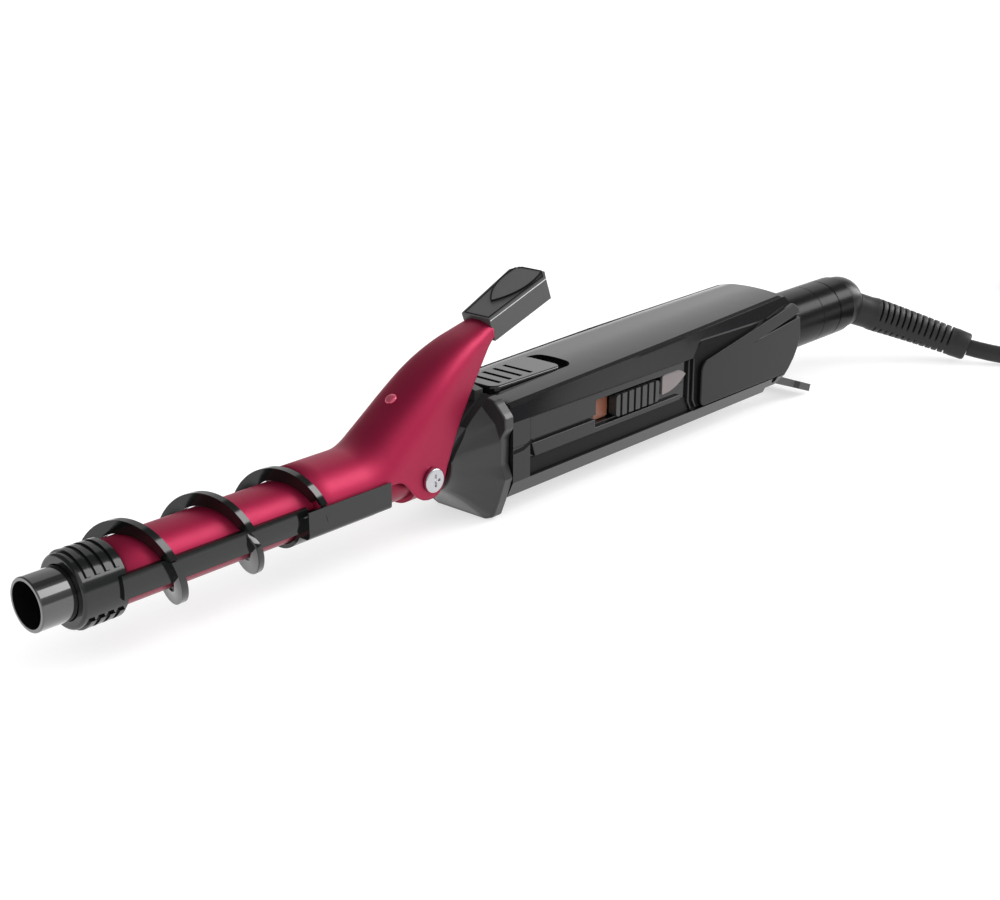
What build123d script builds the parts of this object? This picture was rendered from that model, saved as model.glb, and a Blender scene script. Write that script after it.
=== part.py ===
"""Multi-style curling iron: sprung clamp tong, slip-on spiral sleeve, two-shell handle, swivel cord.

Units are millimetres. X runs along the tong, with the tip at -X and the cord end at +X. Z is up.
The origin is on the table, under the middle of the tool measured from its tip to its swivel ball.
Every station along X is a distance behind the tong's front face.
"""

from build123d import *
import math
import os

os.makedirs("parts", exist_ok=True)

# ---------------------------------------------------------------- driving dimensions
TOOL_LENGTH = 362.9                  # front of the tip to the back of the swivel ball
TIP = -TOOL_LENGTH / 2
AXIS_Z = 20.0                        # tong axis above the table
SWIVEL_Z = AXIS_Z + 3.0              # the cord swivel sits a little higher than the tong

# tong
BARREL_R = 7.9
BARREL_WALL = 0.8
TIP_R = 6.7
TIP_WALL = 0.95
BARREL_FRONT = TIP + 14.5
BARREL_REAR = TIP + 139.0
COLLAR_FRONT = TIP + 9.0
COLLAR_REAR = TIP + 21.0
SHEET = 0.6                          # clamp sheet thickness
CLAMP_GAP = 0.25
CLAMP_FRONT = COLLAR_REAR + 0.4
STEP_X = TIP + 78.0                  # the clamp blade steps up here
STEP_R = 11.4
HOOD_FRONT = TIP + 100.0
CLAMP_EDGE_Z = AXIS_Z + 2.0          # lower edge of the clamp blade
PIVOT = TIP + 119.0
PIVOT_Z = AXIS_Z - 1.0
PIVOT_PIN_R = 1.45
EAR_OUT = 10.3

# spiral sleeve
FIN_R = 12.3
FIN_IN = 9.0
FIN_PITCH = 23.4
FIN_THICK = 1.9
FIN_CREST = TIP + 27.4               # first crest, on top of the tong
FIN_SPLIT_Z = AXIS_Z + 3.6           # below it the ribbon is on the sleeve, above it on the clamp
SPINE_OUT = 10.1
SPINE_LOW = AXIS_Z - 2.5
CRADLE_FRONT = TIP + 73.0
CRADLE_REAR = TIP + 102.0

# nose and handle
NOSE_FRONT = PIVOT + 9.0
FLANGE_FRONT = PIVOT + 22.5
NOSE_REAR = PIVOT + 26.0
HANDLE_FRONT = NOSE_REAR + 0.4
HANDLE_REAR = PIVOT + 180.0
BOTTOM_Z = AXIS_Z - 12.9
SPLIT_Z = AXIS_Z + 2.4
SIDE_Y = 16.9
CAVITY_Y = 12.8
CAVITY_LOW = AXIS_Z - 10.6
CAVITY_HIGH = AXIS_Z + 12.6
CAVITY_FRONT = HANDLE_FRONT + 2.2
CAVITY_REAR = PIVOT + 156.0
RECESS_DEPTH = 1.5
RECESS_FRONT = PIVOT + 33.8
COVER_FRONT = PIVOT + 113.6

# controls
RELEASE_FRONT = PIVOT + 28.6
RELEASE_LENGTH = 31.0
RELEASE_WIDTH = 15.0
RELEASE_TRAVEL = 4.0
RELEASE_SEAT_Z = AXIS_Z + 15.6
SWITCH_FRONT = PIVOT + 64.6
SWITCH_REAR = PIVOT + 98.0
SWITCH_Z = AXIS_Z + 3.6
SWITCH_HEIGHT = 7.6
KNOB_FRONT = PIVOT + 73.6
KNOB_LENGTH = 22.0
KNOB_TRAVEL = 8.0

# swivel and cord
SWIVEL_R = 10.7
BASE_REAR = PIVOT + 207.0
RING_REAR = PIVOT + 219.0
CAP_REAR = PIVOT + 228.8
BALL_X = PIVOT + 234.0
BALL_R = 9.9
RELIEF_END = Vector(BALL_X + 32.0, -40.4, 6.0)
CORD_D = 6.4
COIL_CENTRE = (BALL_X + 176.0, -37.0)
COIL_R = 32.0
FLOOR_GAP = 0.1


def x_plane(x, z=AXIS_Z):
    """A plane across the tool at x, with its origin on an axis at height z."""
    return Plane(origin=(x, 0, z), x_dir=(0, 1, 0), z_dir=(1, 0, 0))


def side_plane(y=0.0):
    """A plane along the tool; sketch x is world X and sketch y is world Z."""
    return Plane(origin=(0, y, 0), x_dir=(1, 0, 0), z_dir=(0, -1, 0))


def write(piece, name):
    """Label a finished piece and write it to its own STEP file."""
    piece.part.label = name
    export_step(piece.part, f"parts/{name}.step")


# ================================================================ handle
def handle_station(x, half_top, top_z):
    """Outline of the handle across X: crowned top, upright sides and a bevelled flat bottom."""
    crown = 2.1
    with BuildSketch(x_plane(x, 0)) as outline:
        with BuildLine():
            ThreePointArc((-half_top, top_z), (0, top_z + crown), (half_top, top_z))
            Polyline(
                (half_top, top_z), (SIDE_Y, AXIS_Z + 10), (SIDE_Y, AXIS_Z - 8),
                (14.6, BOTTOM_Z), (-14.6, BOTTOM_Z), (-SIDE_Y, AXIS_Z - 8),
                (-SIDE_Y, AXIS_Z + 10), (-half_top, top_z),
            )
        make_face()
    return outline.sketch


def handle_silhouette():
    """Side view of the handle: level bottom and a tail rounded above and below."""
    with BuildSketch(side_plane()) as outline:
        with BuildLine():
            tail_low = (HANDLE_REAR - 28, BOTTOM_Z - 0.5)
            tail_mid = (HANDLE_REAR, AXIS_Z + 5)
            tail_top = (HANDLE_REAR - 22, AXIS_Z + 24)
            ThreePointArc(tail_low, (HANDLE_REAR - 6.5, AXIS_Z - 6.5), tail_mid)
            ThreePointArc(tail_mid, (HANDLE_REAR - 3, AXIS_Z + 14.5), tail_top)
            Polyline(tail_top, (HANDLE_FRONT - 1, AXIS_Z + 24),
                     (HANDLE_FRONT - 1, BOTTOM_Z - 0.5), tail_low)
        make_face()
    return outline.sketch


with BuildPart() as handle_form:
    add(handle_station(HANDLE_FRONT, 15.4, AXIS_Z + 14.6))
    add(handle_station(PIVOT + 100, 15.1, AXIS_Z + 16.9))
    add(handle_station(HANDLE_REAR + 1, 13.0, AXIS_Z + 19.0))
    loft()
    with BuildSketch(side_plane()):
        add(handle_silhouette())
    extrude(amount=SIDE_Y + 2, both=True, mode=Mode.INTERSECT)

TAIL_BORE_R = 9.0
SCREW_X = [PIVOT + 58, PIVOT + 148]
SCREW_Y = 9.0
COVER_GAP = 0.15


def cover_outline(gap):
    """Side view of a tail cover, grown by gap on every side that meets the shells."""
    with BuildSketch(side_plane()) as outline:
        with BuildLine():
            Polyline(
                (COVER_FRONT - gap, AXIS_Z - 8 - gap), (HANDLE_REAR + 2, AXIS_Z - 8 - gap),
                (HANDLE_REAR + 2, AXIS_Z + 13.4 + gap), (COVER_FRONT + 6, AXIS_Z + 14.6 + gap),
                (COVER_FRONT - gap, AXIS_Z + 9.6), close=True,
            )
        make_face()
        fillet(outline.vertices().sort_by(Axis.X)[:3], 2.5)
    return outline.sketch


with BuildPart() as handle_body:
    add(handle_form.part)
    # cavity
    cavity_length = CAVITY_REAR - CAVITY_FRONT
    cavity_height = CAVITY_HIGH - CAVITY_LOW
    with Locations((CAVITY_FRONT + cavity_length / 2, 0, CAVITY_LOW + cavity_height / 2)):
        Box(cavity_length, 2 * CAVITY_Y, cavity_height, mode=Mode.SUBTRACT)
    # mouth for the tong plug and bore for the swivel
    with BuildSketch(x_plane(HANDLE_FRONT - 1)):
        Circle(10.6)
    extrude(amount=6, mode=Mode.SUBTRACT)
    with BuildSketch(x_plane(CAVITY_REAR - 1, SWIVEL_Z)):
        Circle(TAIL_BORE_R)
    extrude(amount=30, mode=Mode.SUBTRACT)
    # side channels and the seats of the tail covers
    for side in (-1, 1):
        channel_length = COVER_FRONT - RECESS_FRONT + 1
        with Locations((RECESS_FRONT + channel_length / 2, side * SIDE_Y, AXIS_Z + 1)):
            Box(channel_length, 2 * RECESS_DEPTH, 18, mode=Mode.SUBTRACT)
        with BuildSketch(side_plane(side * SIDE_Y)):
            add(cover_outline(COVER_GAP))
        extrude(amount=RECESS_DEPTH, both=True, mode=Mode.SUBTRACT)
    # release slide: pocket and stem slot
    pocket_length = RELEASE_LENGTH + RELEASE_TRAVEL + 1.2
    with BuildSketch(Plane.XY.offset(RELEASE_SEAT_Z)):
        with Locations((RELEASE_FRONT - 0.4 + pocket_length / 2, 0)):
            RectangleRounded(pocket_length, RELEASE_WIDTH + 0.6, 3.4)
        with Locations((RELEASE_FRONT - 2, 0)):
            Rectangle(10, RELEASE_WIDTH + 0.6)
    extrude(amount=6, mode=Mode.SUBTRACT)
    with BuildSketch(Plane.XY.offset(CAVITY_HIGH - 1)):
        with Locations((RELEASE_FRONT + 20.2, 0)):
            Rectangle(18.4, 5.6)
    extrude(amount=6, mode=Mode.SUBTRACT)
    # slot of the power slider, on the near side only
    slot_length = SWITCH_REAR - SWITCH_FRONT
    with Locations((SWITCH_FRONT + slot_length / 2, -SIDE_Y, SWITCH_Z)):
        Box(slot_length, 12, SWITCH_HEIGHT, mode=Mode.SUBTRACT)
    # slots for the loop arms, open below and behind
    for side in (-1, 1):
        with Locations((HANDLE_REAR - 7, side * 13.8, AXIS_Z - 9.6)):
            Box(24, 3.2, 10, mode=Mode.SUBTRACT)
        with BuildSketch(side_plane(side * 13.8)):
            with Locations((PIVOT + 165, AXIS_Z - 8.6)):
                Circle(1.55)
        extrude(amount=4.4, both=True, mode=Mode.SUBTRACT)
    # screw holes, blind in the upper shell
    with BuildSketch(Plane.XY.offset(BOTTOM_Z - 1)):
        with Locations(*[(x, side * SCREW_Y) for x in SCREW_X for side in (-1, 1)]):
            Circle(2.6)
    extrude(amount=3, mode=Mode.SUBTRACT)
    with BuildSketch(Plane.XY.offset(BOTTOM_Z)):
        with Locations(*[(x, side * SCREW_Y) for x in SCREW_X for side in (-1, 1)]):
            Circle(1.5)
    extrude(amount=8, mode=Mode.SUBTRACT)

with BuildPart() as handle_top_shell:
    add(handle_body.part)
    split(bisect_by=Plane.XY.offset(SPLIT_Z + 0.1), keep=Keep.TOP)

with BuildPart() as handle_bottom_shell:
    add(handle_body.part)
    split(bisect_by=Plane.XY.offset(SPLIT_Z), keep=Keep.BOTTOM)

write(handle_top_shell, "handle_top_shell")
write(handle_bottom_shell, "handle_bottom_shell")

# tail covers, one on each side
for name, side in (("tail_cover_near", -1), ("tail_cover_far", 1)):
    with BuildPart() as tail_cover:
        with BuildSketch(side_plane(side * (SIDE_Y - RECESS_DEPTH / 2 + 0.25))):
            add(cover_outline(0))
        extrude(amount=RECESS_DEPTH / 2 + 0.15, both=True)
        with BuildSketch(side_plane()):
            add(handle_silhouette())
        extrude(amount=SIDE_Y + 4, both=True, mode=Mode.INTERSECT)
    write(tail_cover, name)

# ================================================================ controls in the handle
with BuildPart() as release_slide:
    with BuildSketch(Plane.XY.offset(RELEASE_SEAT_Z + 0.2)):
        with Locations((RELEASE_FRONT + RELEASE_LENGTH / 2, 0)):
            RectangleRounded(RELEASE_LENGTH, RELEASE_WIDTH, 3.2)
    extrude(amount=2.2)
    rib_edges = release_slide.faces().sort_by(Axis.Z)[-1].edges()
    fillet(rib_edges, 0.7)
    with BuildSketch(Plane.XY.offset(RELEASE_SEAT_Z + 1.6)):
        with GridLocations(4.6, 0, 4, 1):
            with Locations((RELEASE_FRONT + 12, 0)):
                Rectangle(1.6, RELEASE_WIDTH - 4)
    extrude(amount=2, mode=Mode.SUBTRACT)
    # stem and latch hook below the plate
    with BuildSketch(Plane.XY.offset(AXIS_Z + 11.4)):
        with Locations((RELEASE_FRONT + 15, 0)):
            Rectangle(7.4, 4.8)
    extrude(until=Until.NEXT)
write(release_slide, "release_slide")

with BuildPart() as release_spring:
    spring_start = (RELEASE_FRONT + 19.2, 0, AXIS_Z + 14.0)
    spring_path = Helix(pitch=1.7, height=9.6, radius=1.1, center=spring_start, direction=(1, 0, 0))
    with BuildSketch(Plane(origin=spring_path @ 0, z_dir=spring_path % 0)):
        Circle(0.22)
    sweep(path=spring_path, is_frenet=True)
write(release_spring, "release_spring")

with BuildPart() as power_knob:
    knob_middle = KNOB_FRONT + KNOB_LENGTH / 2
    with BuildSketch(side_plane(-SIDE_Y + 2.6)):
        with Locations((knob_middle, SWITCH_Z)):
            RectangleRounded(KNOB_LENGTH, SWITCH_HEIGHT - 0.7, 1.2)
    extrude(amount=2.9)
    with BuildSketch(side_plane(-SIDE_Y - 0.3)):
        with Locations((knob_middle, SWITCH_Z)):
            with GridLocations(3.4, 0, 6, 1):
                Rectangle(1.1, SWITCH_HEIGHT)
    extrude(amount=-1.2, mode=Mode.SUBTRACT)
    # drive peg into the slide switch
    with BuildSketch(side_plane(-SIDE_Y + 2.6)):
        with Locations((knob_middle + 4, SWITCH_Z)):
            Rectangle(3, 3)
    extrude(amount=-3.9)
write(power_knob, "power_knob")

with BuildPart() as power_marker:
    with BuildSketch(side_plane(-SIDE_Y + 4.0)):
        with Locations((SWITCH_FRONT + 5.0, SWITCH_Z)):
            RectangleRounded(7.4, SWITCH_HEIGHT - 0.6, 0.8)
    extrude(amount=0.8)
write(power_marker, "power_marker")

with BuildPart() as setting_lens:
    with BuildSketch(side_plane(-SIDE_Y + RECESS_DEPTH - 0.05)):
        with BuildLine():
            lens_front = SWITCH_REAR + 0.6
            lens_tip = (COVER_FRONT - 2.4, SWITCH_Z + 1.8)
            Line((lens_front, SWITCH_Z - 2.4), (lens_front, SWITCH_Z + 3.6))
            ThreePointArc((lens_front, SWITCH_Z + 3.6), (lens_front + 8, SWITCH_Z + 4.0), lens_tip)
            ThreePointArc(lens_tip, (lens_front + 8, SWITCH_Z - 1.0), (lens_front, SWITCH_Z - 2.4))
        make_face()
    extrude(amount=0.7)
write(setting_lens, "setting_lens")

BOARD_Z = AXIS_Z - 6.0
with BuildPart() as circuit_board:
    with BuildSketch(Plane.XY.offset(BOARD_Z)):
        with Locations((PIVOT + 104, 0)):
            Rectangle(72, 22)
    extrude(amount=1.6)
write(circuit_board, "circuit_board")

with BuildPart() as board_components:
    with BuildSketch(Plane.XY.offset(BOARD_Z + 1.62)):
        with Locations((PIVOT + 118, 3), (PIVOT + 132, 3)):
            Rectangle(10, 12)
        with Locations((PIVOT + 108, 5), (PIVOT + 108, -5)):
            Circle(2.6)
        with Locations((PIVOT + 122, -7)):
            Rectangle(14, 4)
    extrude(amount=6.5)
write(board_components, "board_components")

with BuildPart() as slide_switch:
    with Locations((knob_middle, -6.4, SWITCH_Z)):
        Box(24, 7.2, 6.6)
    with Locations((knob_middle + 4 - KNOB_TRAVEL / 2, -10, SWITCH_Z)):
        Box(3.4 + KNOB_TRAVEL, 5.2, 3.6, mode=Mode.SUBTRACT)
write(slide_switch, "slide_switch")

with BuildPart() as shell_screws:
    for x in SCREW_X:
        for side in (-1, 1):
            with BuildSketch(Plane.XY.offset(BOTTOM_Z + 0.4)):
                with Locations((x, side * SCREW_Y)):
                    Circle(2.3)
            extrude(amount=1.55)
            with BuildSketch(Plane.XY.offset(BOTTOM_Z + 1.9)):
                with Locations((x, side * SCREW_Y)):
                    Circle(1.3)
            extrude(amount=5)
write(shell_screws, "shell_screws")

# socket that takes the tong's plug, and its three spring contacts
SOCKET_FRONT = CAVITY_FRONT + 0.3
with BuildPart() as tong_socket:
    with BuildSketch(x_plane(SOCKET_FRONT)):
        Circle(10.4)
        Circle(8.9, mode=Mode.SUBTRACT)
    extrude(amount=20)
    with BuildSketch(x_plane(SOCKET_FRONT + 20)):
        Circle(10.4)
        with GridLocations(5, 0, 3, 1):
            Circle(1.6, mode=Mode.SUBTRACT)
    extrude(amount=3)
write(tong_socket, "tong_socket")

with BuildPart() as socket_contacts:
    with BuildSketch(x_plane(SOCKET_FRONT + 20.5)):
        with GridLocations(5, 0, 3, 1):
            Circle(1.5)
            Circle(1.05, mode=Mode.SUBTRACT)
    extrude(amount=7)
write(socket_contacts, "socket_contacts")

with BuildPart() as lead_wires:
    for side in (-1, 1):
        with BuildLine() as wire_path:
            Spline((PIVOT + 140.5, side * 4, AXIS_Z - 3.2), (PIVOT + 152, side * 5, AXIS_Z + 1.5),
                   (PIVOT + 178, side * 4, AXIS_Z + 3), tangents=[(1, 0, 0), (1, 0, 0)])
        with BuildSketch(Plane(origin=wire_path.line @ 0, z_dir=wire_path.line % 0)):
            Circle(0.9)
        sweep(path=wire_path.line)
write(lead_wires, "lead_wires")

# ================================================================ hanging loop
LOOP_HUB = (PIVOT + 165, AXIS_Z - 8.6)
LOOP_DROP = 20.0                     # degrees below level at rest
LOOP_LENGTH = 26.6
LOOP_THICK = 2.6

with BuildPart() as hanging_loop:
    loop_plane = Plane(origin=(LOOP_HUB[0], 0, LOOP_HUB[1]), x_dir=(1, 0, 0), z_dir=(0, 0, 1))
    loop_plane = loop_plane.rotated((0, LOOP_DROP, 0))
    with BuildSketch(loop_plane.offset(-LOOP_THICK / 2)):
        with BuildLine():
            Polyline(
                (0, -15.1), (17, -15.1), (19, -16.3), (LOOP_LENGTH, -16.3), (LOOP_LENGTH, 16.3),
                (19, 16.3), (17, 15.1), (0, 15.1), (0, 12.5), (20, 12.5), (20, -12.5),
                (0, -12.5), (0, -15.1),
            )
        make_face()
    extrude(amount=LOOP_THICK)
    with BuildSketch(side_plane(-12.5)):
        with Locations(LOOP_HUB):
            Circle(2.4)
    extrude(amount=2.6)
    with BuildSketch(side_plane(15.1)):
        with Locations(LOOP_HUB):
            Circle(2.4)
    extrude(amount=2.6)
    with BuildSketch(side_plane(0)):
        with Locations(LOOP_HUB):
            Circle(1.55)
    extrude(amount=SIDE_Y, both=True, mode=Mode.SUBTRACT)
write(hanging_loop, "hanging_loop")

with BuildPart() as loop_pins:
    for side in (-1, 1):
        with BuildSketch(side_plane(side * 13.6)):
            with Locations(LOOP_HUB):
                Circle(1.5)
        extrude(amount=1.7, both=True)
write(loop_pins, "loop_pins")

# ================================================================ cord swivel
with BuildPart() as swivel_base:
    with BuildSketch(x_plane(PIVOT + 160, SWIVEL_Z)):
        Circle(TAIL_BORE_R - 0.1)
    extrude(amount=HANDLE_REAR - PIVOT - 160 - 8)
    with BuildSketch(x_plane(HANDLE_REAR + 0.3, SWIVEL_Z)):
        Circle(SWIVEL_R)
    extrude(amount=BASE_REAR - HANDLE_REAR - 0.3)
    with BuildSketch(x_plane(HANDLE_REAR - 8, SWIVEL_Z)):
        Circle(TAIL_BORE_R - 0.1)
    extrude(amount=8.3)
    with BuildSketch(x_plane(PIVOT + 160, SWIVEL_Z)):
        Circle(7.6)
    extrude(amount=BASE_REAR - PIVOT - 160, mode=Mode.SUBTRACT)
write(swivel_base, "swivel_base")

with BuildPart() as swivel_ring:
    with BuildSketch(x_plane(BASE_REAR + 0.1, SWIVEL_Z)):
        Circle(SWIVEL_R)
        Circle(7.6, mode=Mode.SUBTRACT)
    extrude(amount=RING_REAR - BASE_REAR - 0.1)
    ring_edges = swivel_ring.edges().filter_by(GeomType.CIRCLE).sort_by(SortBy.RADIUS)[-2:]
    fillet(ring_edges, 0.3)
write(swivel_ring, "swivel_ring")

with BuildPart() as swivel_cap:
    with BuildSketch(x_plane(RING_REAR + 0.35, SWIVEL_Z)):
        Circle(SWIVEL_R)
    extrude(amount=CAP_REAR - RING_REAR - 0.35)
    with Locations((BALL_X, 0, SWIVEL_Z)):
        Sphere(BALL_R + 0.15, mode=Mode.SUBTRACT)
    # hollow spindle that turns in the ring and the base
    with BuildSketch(x_plane(BASE_REAR - 24, SWIVEL_Z)):
        Circle(5.2)
    extrude(amount=RING_REAR - BASE_REAR + 24.5)
    with BuildSketch(x_plane(BASE_REAR - 24, SWIVEL_Z)):
        Circle(2.6)
    extrude(amount=CAP_REAR - BASE_REAR + 24, mode=Mode.SUBTRACT)
write(swivel_cap, "swivel_cap")

with BuildPart() as slip_rings:
    for x in (BASE_REAR - 20, BASE_REAR - 12):
        with BuildSketch(x_plane(x, SWIVEL_Z)):
            Circle(6.1)
            Circle(5.25, mode=Mode.SUBTRACT)
        extrude(amount=4)
write(slip_rings, "slip_rings")

with BuildPart() as slip_brushes:
    for x in (BASE_REAR - 19.4, BASE_REAR - 11.4):
        with Locations((x + 1.4, 0, SWIVEL_Z + 6.85)):
            Box(2.8, 2.4, 1.0)
write(slip_brushes, "slip_brushes")

RIB_COUNT = 13
RIB_FIRST = 17.0
RIB_PITCH = 2.45
RIB_WIDTH = 1.6
NECK_R = 6.0
RELIEF_CORE_R = 4.2
RELIEF_START_R = 6.3
RELIEF_END_R = 5.3
ball_centre = Vector(BALL_X, 0, SWIVEL_Z)
# gentle bend of the sleeve: how far its middle stands off the straight line
relief_bend = Vector(2.9, 2.7, -0.2)
relief_arc = ThreePointArc(ball_centre, (ball_centre + RELIEF_END) / 2 + relief_bend, RELIEF_END)
relief_length = relief_arc.length


def relief_plane(distance):
    """Plane across the strain relief at a distance along it from the ball's centre."""
    return Plane(origin=relief_arc.position_at(distance / relief_length),
                 z_dir=relief_arc.tangent_at(distance / relief_length))


with BuildPart() as swivel_ball:
    with Locations(ball_centre):
        Sphere(BALL_R)
    with BuildSketch(relief_plane(0)):
        Circle(NECK_R + 0.05)
    extrude(amount=BALL_R + 2, mode=Mode.SUBTRACT)
write(swivel_ball, "swivel_ball")

with BuildPart() as strain_relief:
    with BuildSketch(relief_plane(0.1)):
        Circle(NECK_R)
    extrude(amount=RIB_FIRST - 1.0)
    with BuildSketch(relief_plane(0)):
        Circle(RELIEF_CORE_R)
    sweep(path=relief_arc)
    for i in range(RIB_COUNT):
        rib_radius = RELIEF_START_R + (RELIEF_END_R - RELIEF_START_R) * i / (RIB_COUNT - 1)
        with BuildSketch(relief_plane(RIB_FIRST + RIB_PITCH * i)):
            Circle(rib_radius)
        extrude(amount=RIB_WIDTH)
    # long plain cuff at the cord's end
    with BuildSketch(relief_plane(RIB_FIRST + RIB_PITCH * RIB_COUNT)):
        Circle(RELIEF_END_R)
    extrude(amount=relief_length - RIB_FIRST - RIB_PITCH * RIB_COUNT - 0.4)
    # trimmed flush with the core so that nothing passes the end plane
    with BuildSketch(relief_plane(relief_length)):
        Circle(RELIEF_END_R + 2)
    extrude(amount=5, mode=Mode.SUBTRACT)
write(strain_relief, "strain_relief")

# ================================================================ tong
SPIGOT_LENGTH = 20.0                 # plug that enters the handle's socket


def nose_flange_outline():
    """Rear flange of the nose: crowned top, waisted sides and a foot that reaches the table."""
    with BuildSketch(x_plane(FLANGE_FRONT)) as outline:
        with BuildLine():
            ThreePointArc((-13, 16.6), (0, 19.2), (13, 16.6))
            half = [(13, 16.6), (17.2, 12.4), (17.4, 9.0), (15.6, 6.0), (15.4, -2.0), (17.0, -6.2),
                    (14.6, -13.5), (12.6, -18.6), (9.5, -AXIS_Z)]
            Polyline(*half)
            Polyline(*[(-y, z) for y, z in half])
            Line(half[-1], (-half[-1][0], half[-1][1]))
        make_face()
    return outline.sketch


with BuildPart() as nose_base:
    # round mouth flaring into the flange
    with BuildSketch(x_plane(NOSE_FRONT)):
        RectangleRounded(19.2, 19.2, 9.55)
    with BuildSketch(x_plane(NOSE_FRONT + 7)):
        RectangleRounded(22.6, 22.6, 8.5)
    with BuildSketch(x_plane(FLANGE_FRONT + 0.2)):
        RectangleRounded(31.4, 31.4, 6)
    loft()
    add(extrude(nose_flange_outline(), NOSE_REAR - FLANGE_FRONT, mode=Mode.PRIVATE))
    # foot web below the flare
    with BuildSketch(side_plane()):
        Polygon((PIVOT + 12, AXIS_Z - 8.6), (FLANGE_FRONT + 1, AXIS_Z - 8.6),
                (FLANGE_FRONT + 1, 0), (FLANGE_FRONT - 0.8, 0), align=None)
    extrude(amount=9.5, both=True)
    with BuildSketch(x_plane(NOSE_FRONT - 1)):
        Circle(BARREL_R + 0.1)
    extrude(amount=BARREL_REAR - NOSE_FRONT + 1, mode=Mode.SUBTRACT)
    with BuildSketch(x_plane(BARREL_REAR - 1)):
        Circle(6.6)
    extrude(amount=20, mode=Mode.SUBTRACT)
    # hollow spigot
    with BuildSketch(x_plane(NOSE_REAR)):
        Circle(8.5)
        Circle(6.6, mode=Mode.SUBTRACT)
    extrude(amount=SPIGOT_LENGTH - 2)

with BuildPart() as plug_insert:
    with BuildSketch(x_plane(NOSE_REAR + 8)):
        Circle(6.5)
        with GridLocations(5, 0, 3, 1):
            Circle(1.0, mode=Mode.SUBTRACT)
    extrude(amount=SPIGOT_LENGTH - 10)
write(plug_insert, "plug_insert")

with BuildPart() as plug_prongs:
    with BuildSketch(x_plane(NOSE_REAR + 6)):
        with GridLocations(5, 0, 3, 1):
            Circle(0.98)
    extrude(amount=SPIGOT_LENGTH - 1)
write(plug_prongs, "plug_prongs")

with BuildPart() as barrel_tube:
    with BuildSketch(x_plane(BARREL_FRONT)):
        Circle(BARREL_R)
        Circle(BARREL_R - BARREL_WALL, mode=Mode.SUBTRACT)
    extrude(amount=BARREL_REAR - BARREL_FRONT - 0.1)
write(barrel_tube, "barrel_tube")

with BuildPart() as cool_tip:
    with BuildSketch(x_plane(TIP)):
        Circle(TIP_R)
    extrude(amount=BARREL_FRONT - TIP + 0.1)
    tip_rim = cool_tip.edges().filter_by(GeomType.CIRCLE).sort_by(Axis.X)[0]
    fillet(tip_rim, 0.35)
    with BuildSketch(x_plane(BARREL_FRONT - 2.4)):
        Circle(BARREL_R)
    extrude(amount=2.4)
    with BuildSketch(x_plane(BARREL_FRONT)):
        Circle(BARREL_R - BARREL_WALL - 0.05)
    extrude(amount=7)
    with BuildSketch(x_plane(TIP)):
        Circle(TIP_R - TIP_WALL)
    extrude(amount=BARREL_FRONT - TIP + 4, mode=Mode.SUBTRACT)
write(cool_tip, "cool_tip")

HEATER_FRONT = TIP + 30
HEATER_LENGTH = 62.0
with BuildPart() as heater_plate:
    with Locations((HEATER_FRONT + HEATER_LENGTH / 2, 0, AXIS_Z)):
        Box(HEATER_LENGTH, 9, 2.2)
write(heater_plate, "heater_plate")

with BuildPart() as heat_spreaders:
    with BuildSketch(x_plane(HEATER_FRONT - 2)):
        Circle(BARREL_R - BARREL_WALL - 0.08)
        Rectangle(20, 2.3, mode=Mode.SUBTRACT)
    extrude(amount=HEATER_LENGTH + 4)
write(heat_spreaders, "heat_spreaders")

with BuildPart() as thermal_fuse:
    with Locations((HEATER_FRONT + HEATER_LENGTH + 12, 0, AXIS_Z + 4.2)):
        Cylinder(1.7, 10, rotation=(0, 90, 0))
write(thermal_fuse, "thermal_fuse")

with BuildPart() as heater_leads:
    for side in (-1, 1):
        with BuildSketch(x_plane(HEATER_FRONT + HEATER_LENGTH + 0.1)):
            with Locations((side * 2.6, 0)):
                Circle(0.7)
        extrude(amount=NOSE_REAR + 5.8 - HEATER_FRONT - HEATER_LENGTH)
write(heater_leads, "heater_leads")

with BuildPart() as pivot_collar:
    with BuildSketch(x_plane(PIVOT - 4)):
        Circle(9.2)
        Circle(BARREL_R + 0.05, mode=Mode.SUBTRACT)
    extrude(amount=7.6)
    with BuildSketch(side_plane()):
        with Locations((PIVOT, PIVOT_Z)):
            Circle(PIVOT_PIN_R + 0.02)
    extrude(amount=12, both=True, mode=Mode.SUBTRACT)
write(pivot_collar, "pivot_collar")

with BuildPart() as pivot_screws:
    for side in (-1, 1):
        with BuildSketch(side_plane(side * 9.8)):
            with Locations((PIVOT, PIVOT_Z)):
                Circle(PIVOT_PIN_R)
        extrude(amount=1.6, both=True)
        with BuildSketch(side_plane(side * 11.45)):
            with Locations((PIVOT, PIVOT_Z)):
                Circle(3.5)
        extrude(amount=0.55, both=True)
    head_rims = pivot_screws.edges().filter_by(GeomType.CIRCLE).sort_by(Axis.Y)
    fillet([head_rims[0], head_rims[-1]], 0.5)
    for side in (-1, 1):
        with Locations((PIVOT, side * 12.05, PIVOT_Z)):
            Box(3.6, 1.0, 0.8, mode=Mode.SUBTRACT)
            Box(0.8, 1.0, 3.6, mode=Mode.SUBTRACT)
write(pivot_screws, "pivot_screws")

# ================================================================ clamp
HOOD_REAR = PIVOT + 31.0
RIDGE = [(HOOD_FRONT, 11.4), (PIVOT - 9, 18.0), (PIVOT, 24.2), (PIVOT + 8, 29.2),
         (PIVOT + 17, 33.2), (HOOD_REAR, 36.8)]
REAR_EDGE = [(HOOD_REAR, 32.2), (PIVOT + 28.2, 30.2), (PIVOT + 23, 24.2), (PIVOT + 18.2, 18.4), (PIVOT + 13.4, 12.4),
             (PIVOT + 9.6, 6.0), (PIVOT + 7.0, 0.2)]
EAR_R = 5.6


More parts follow.
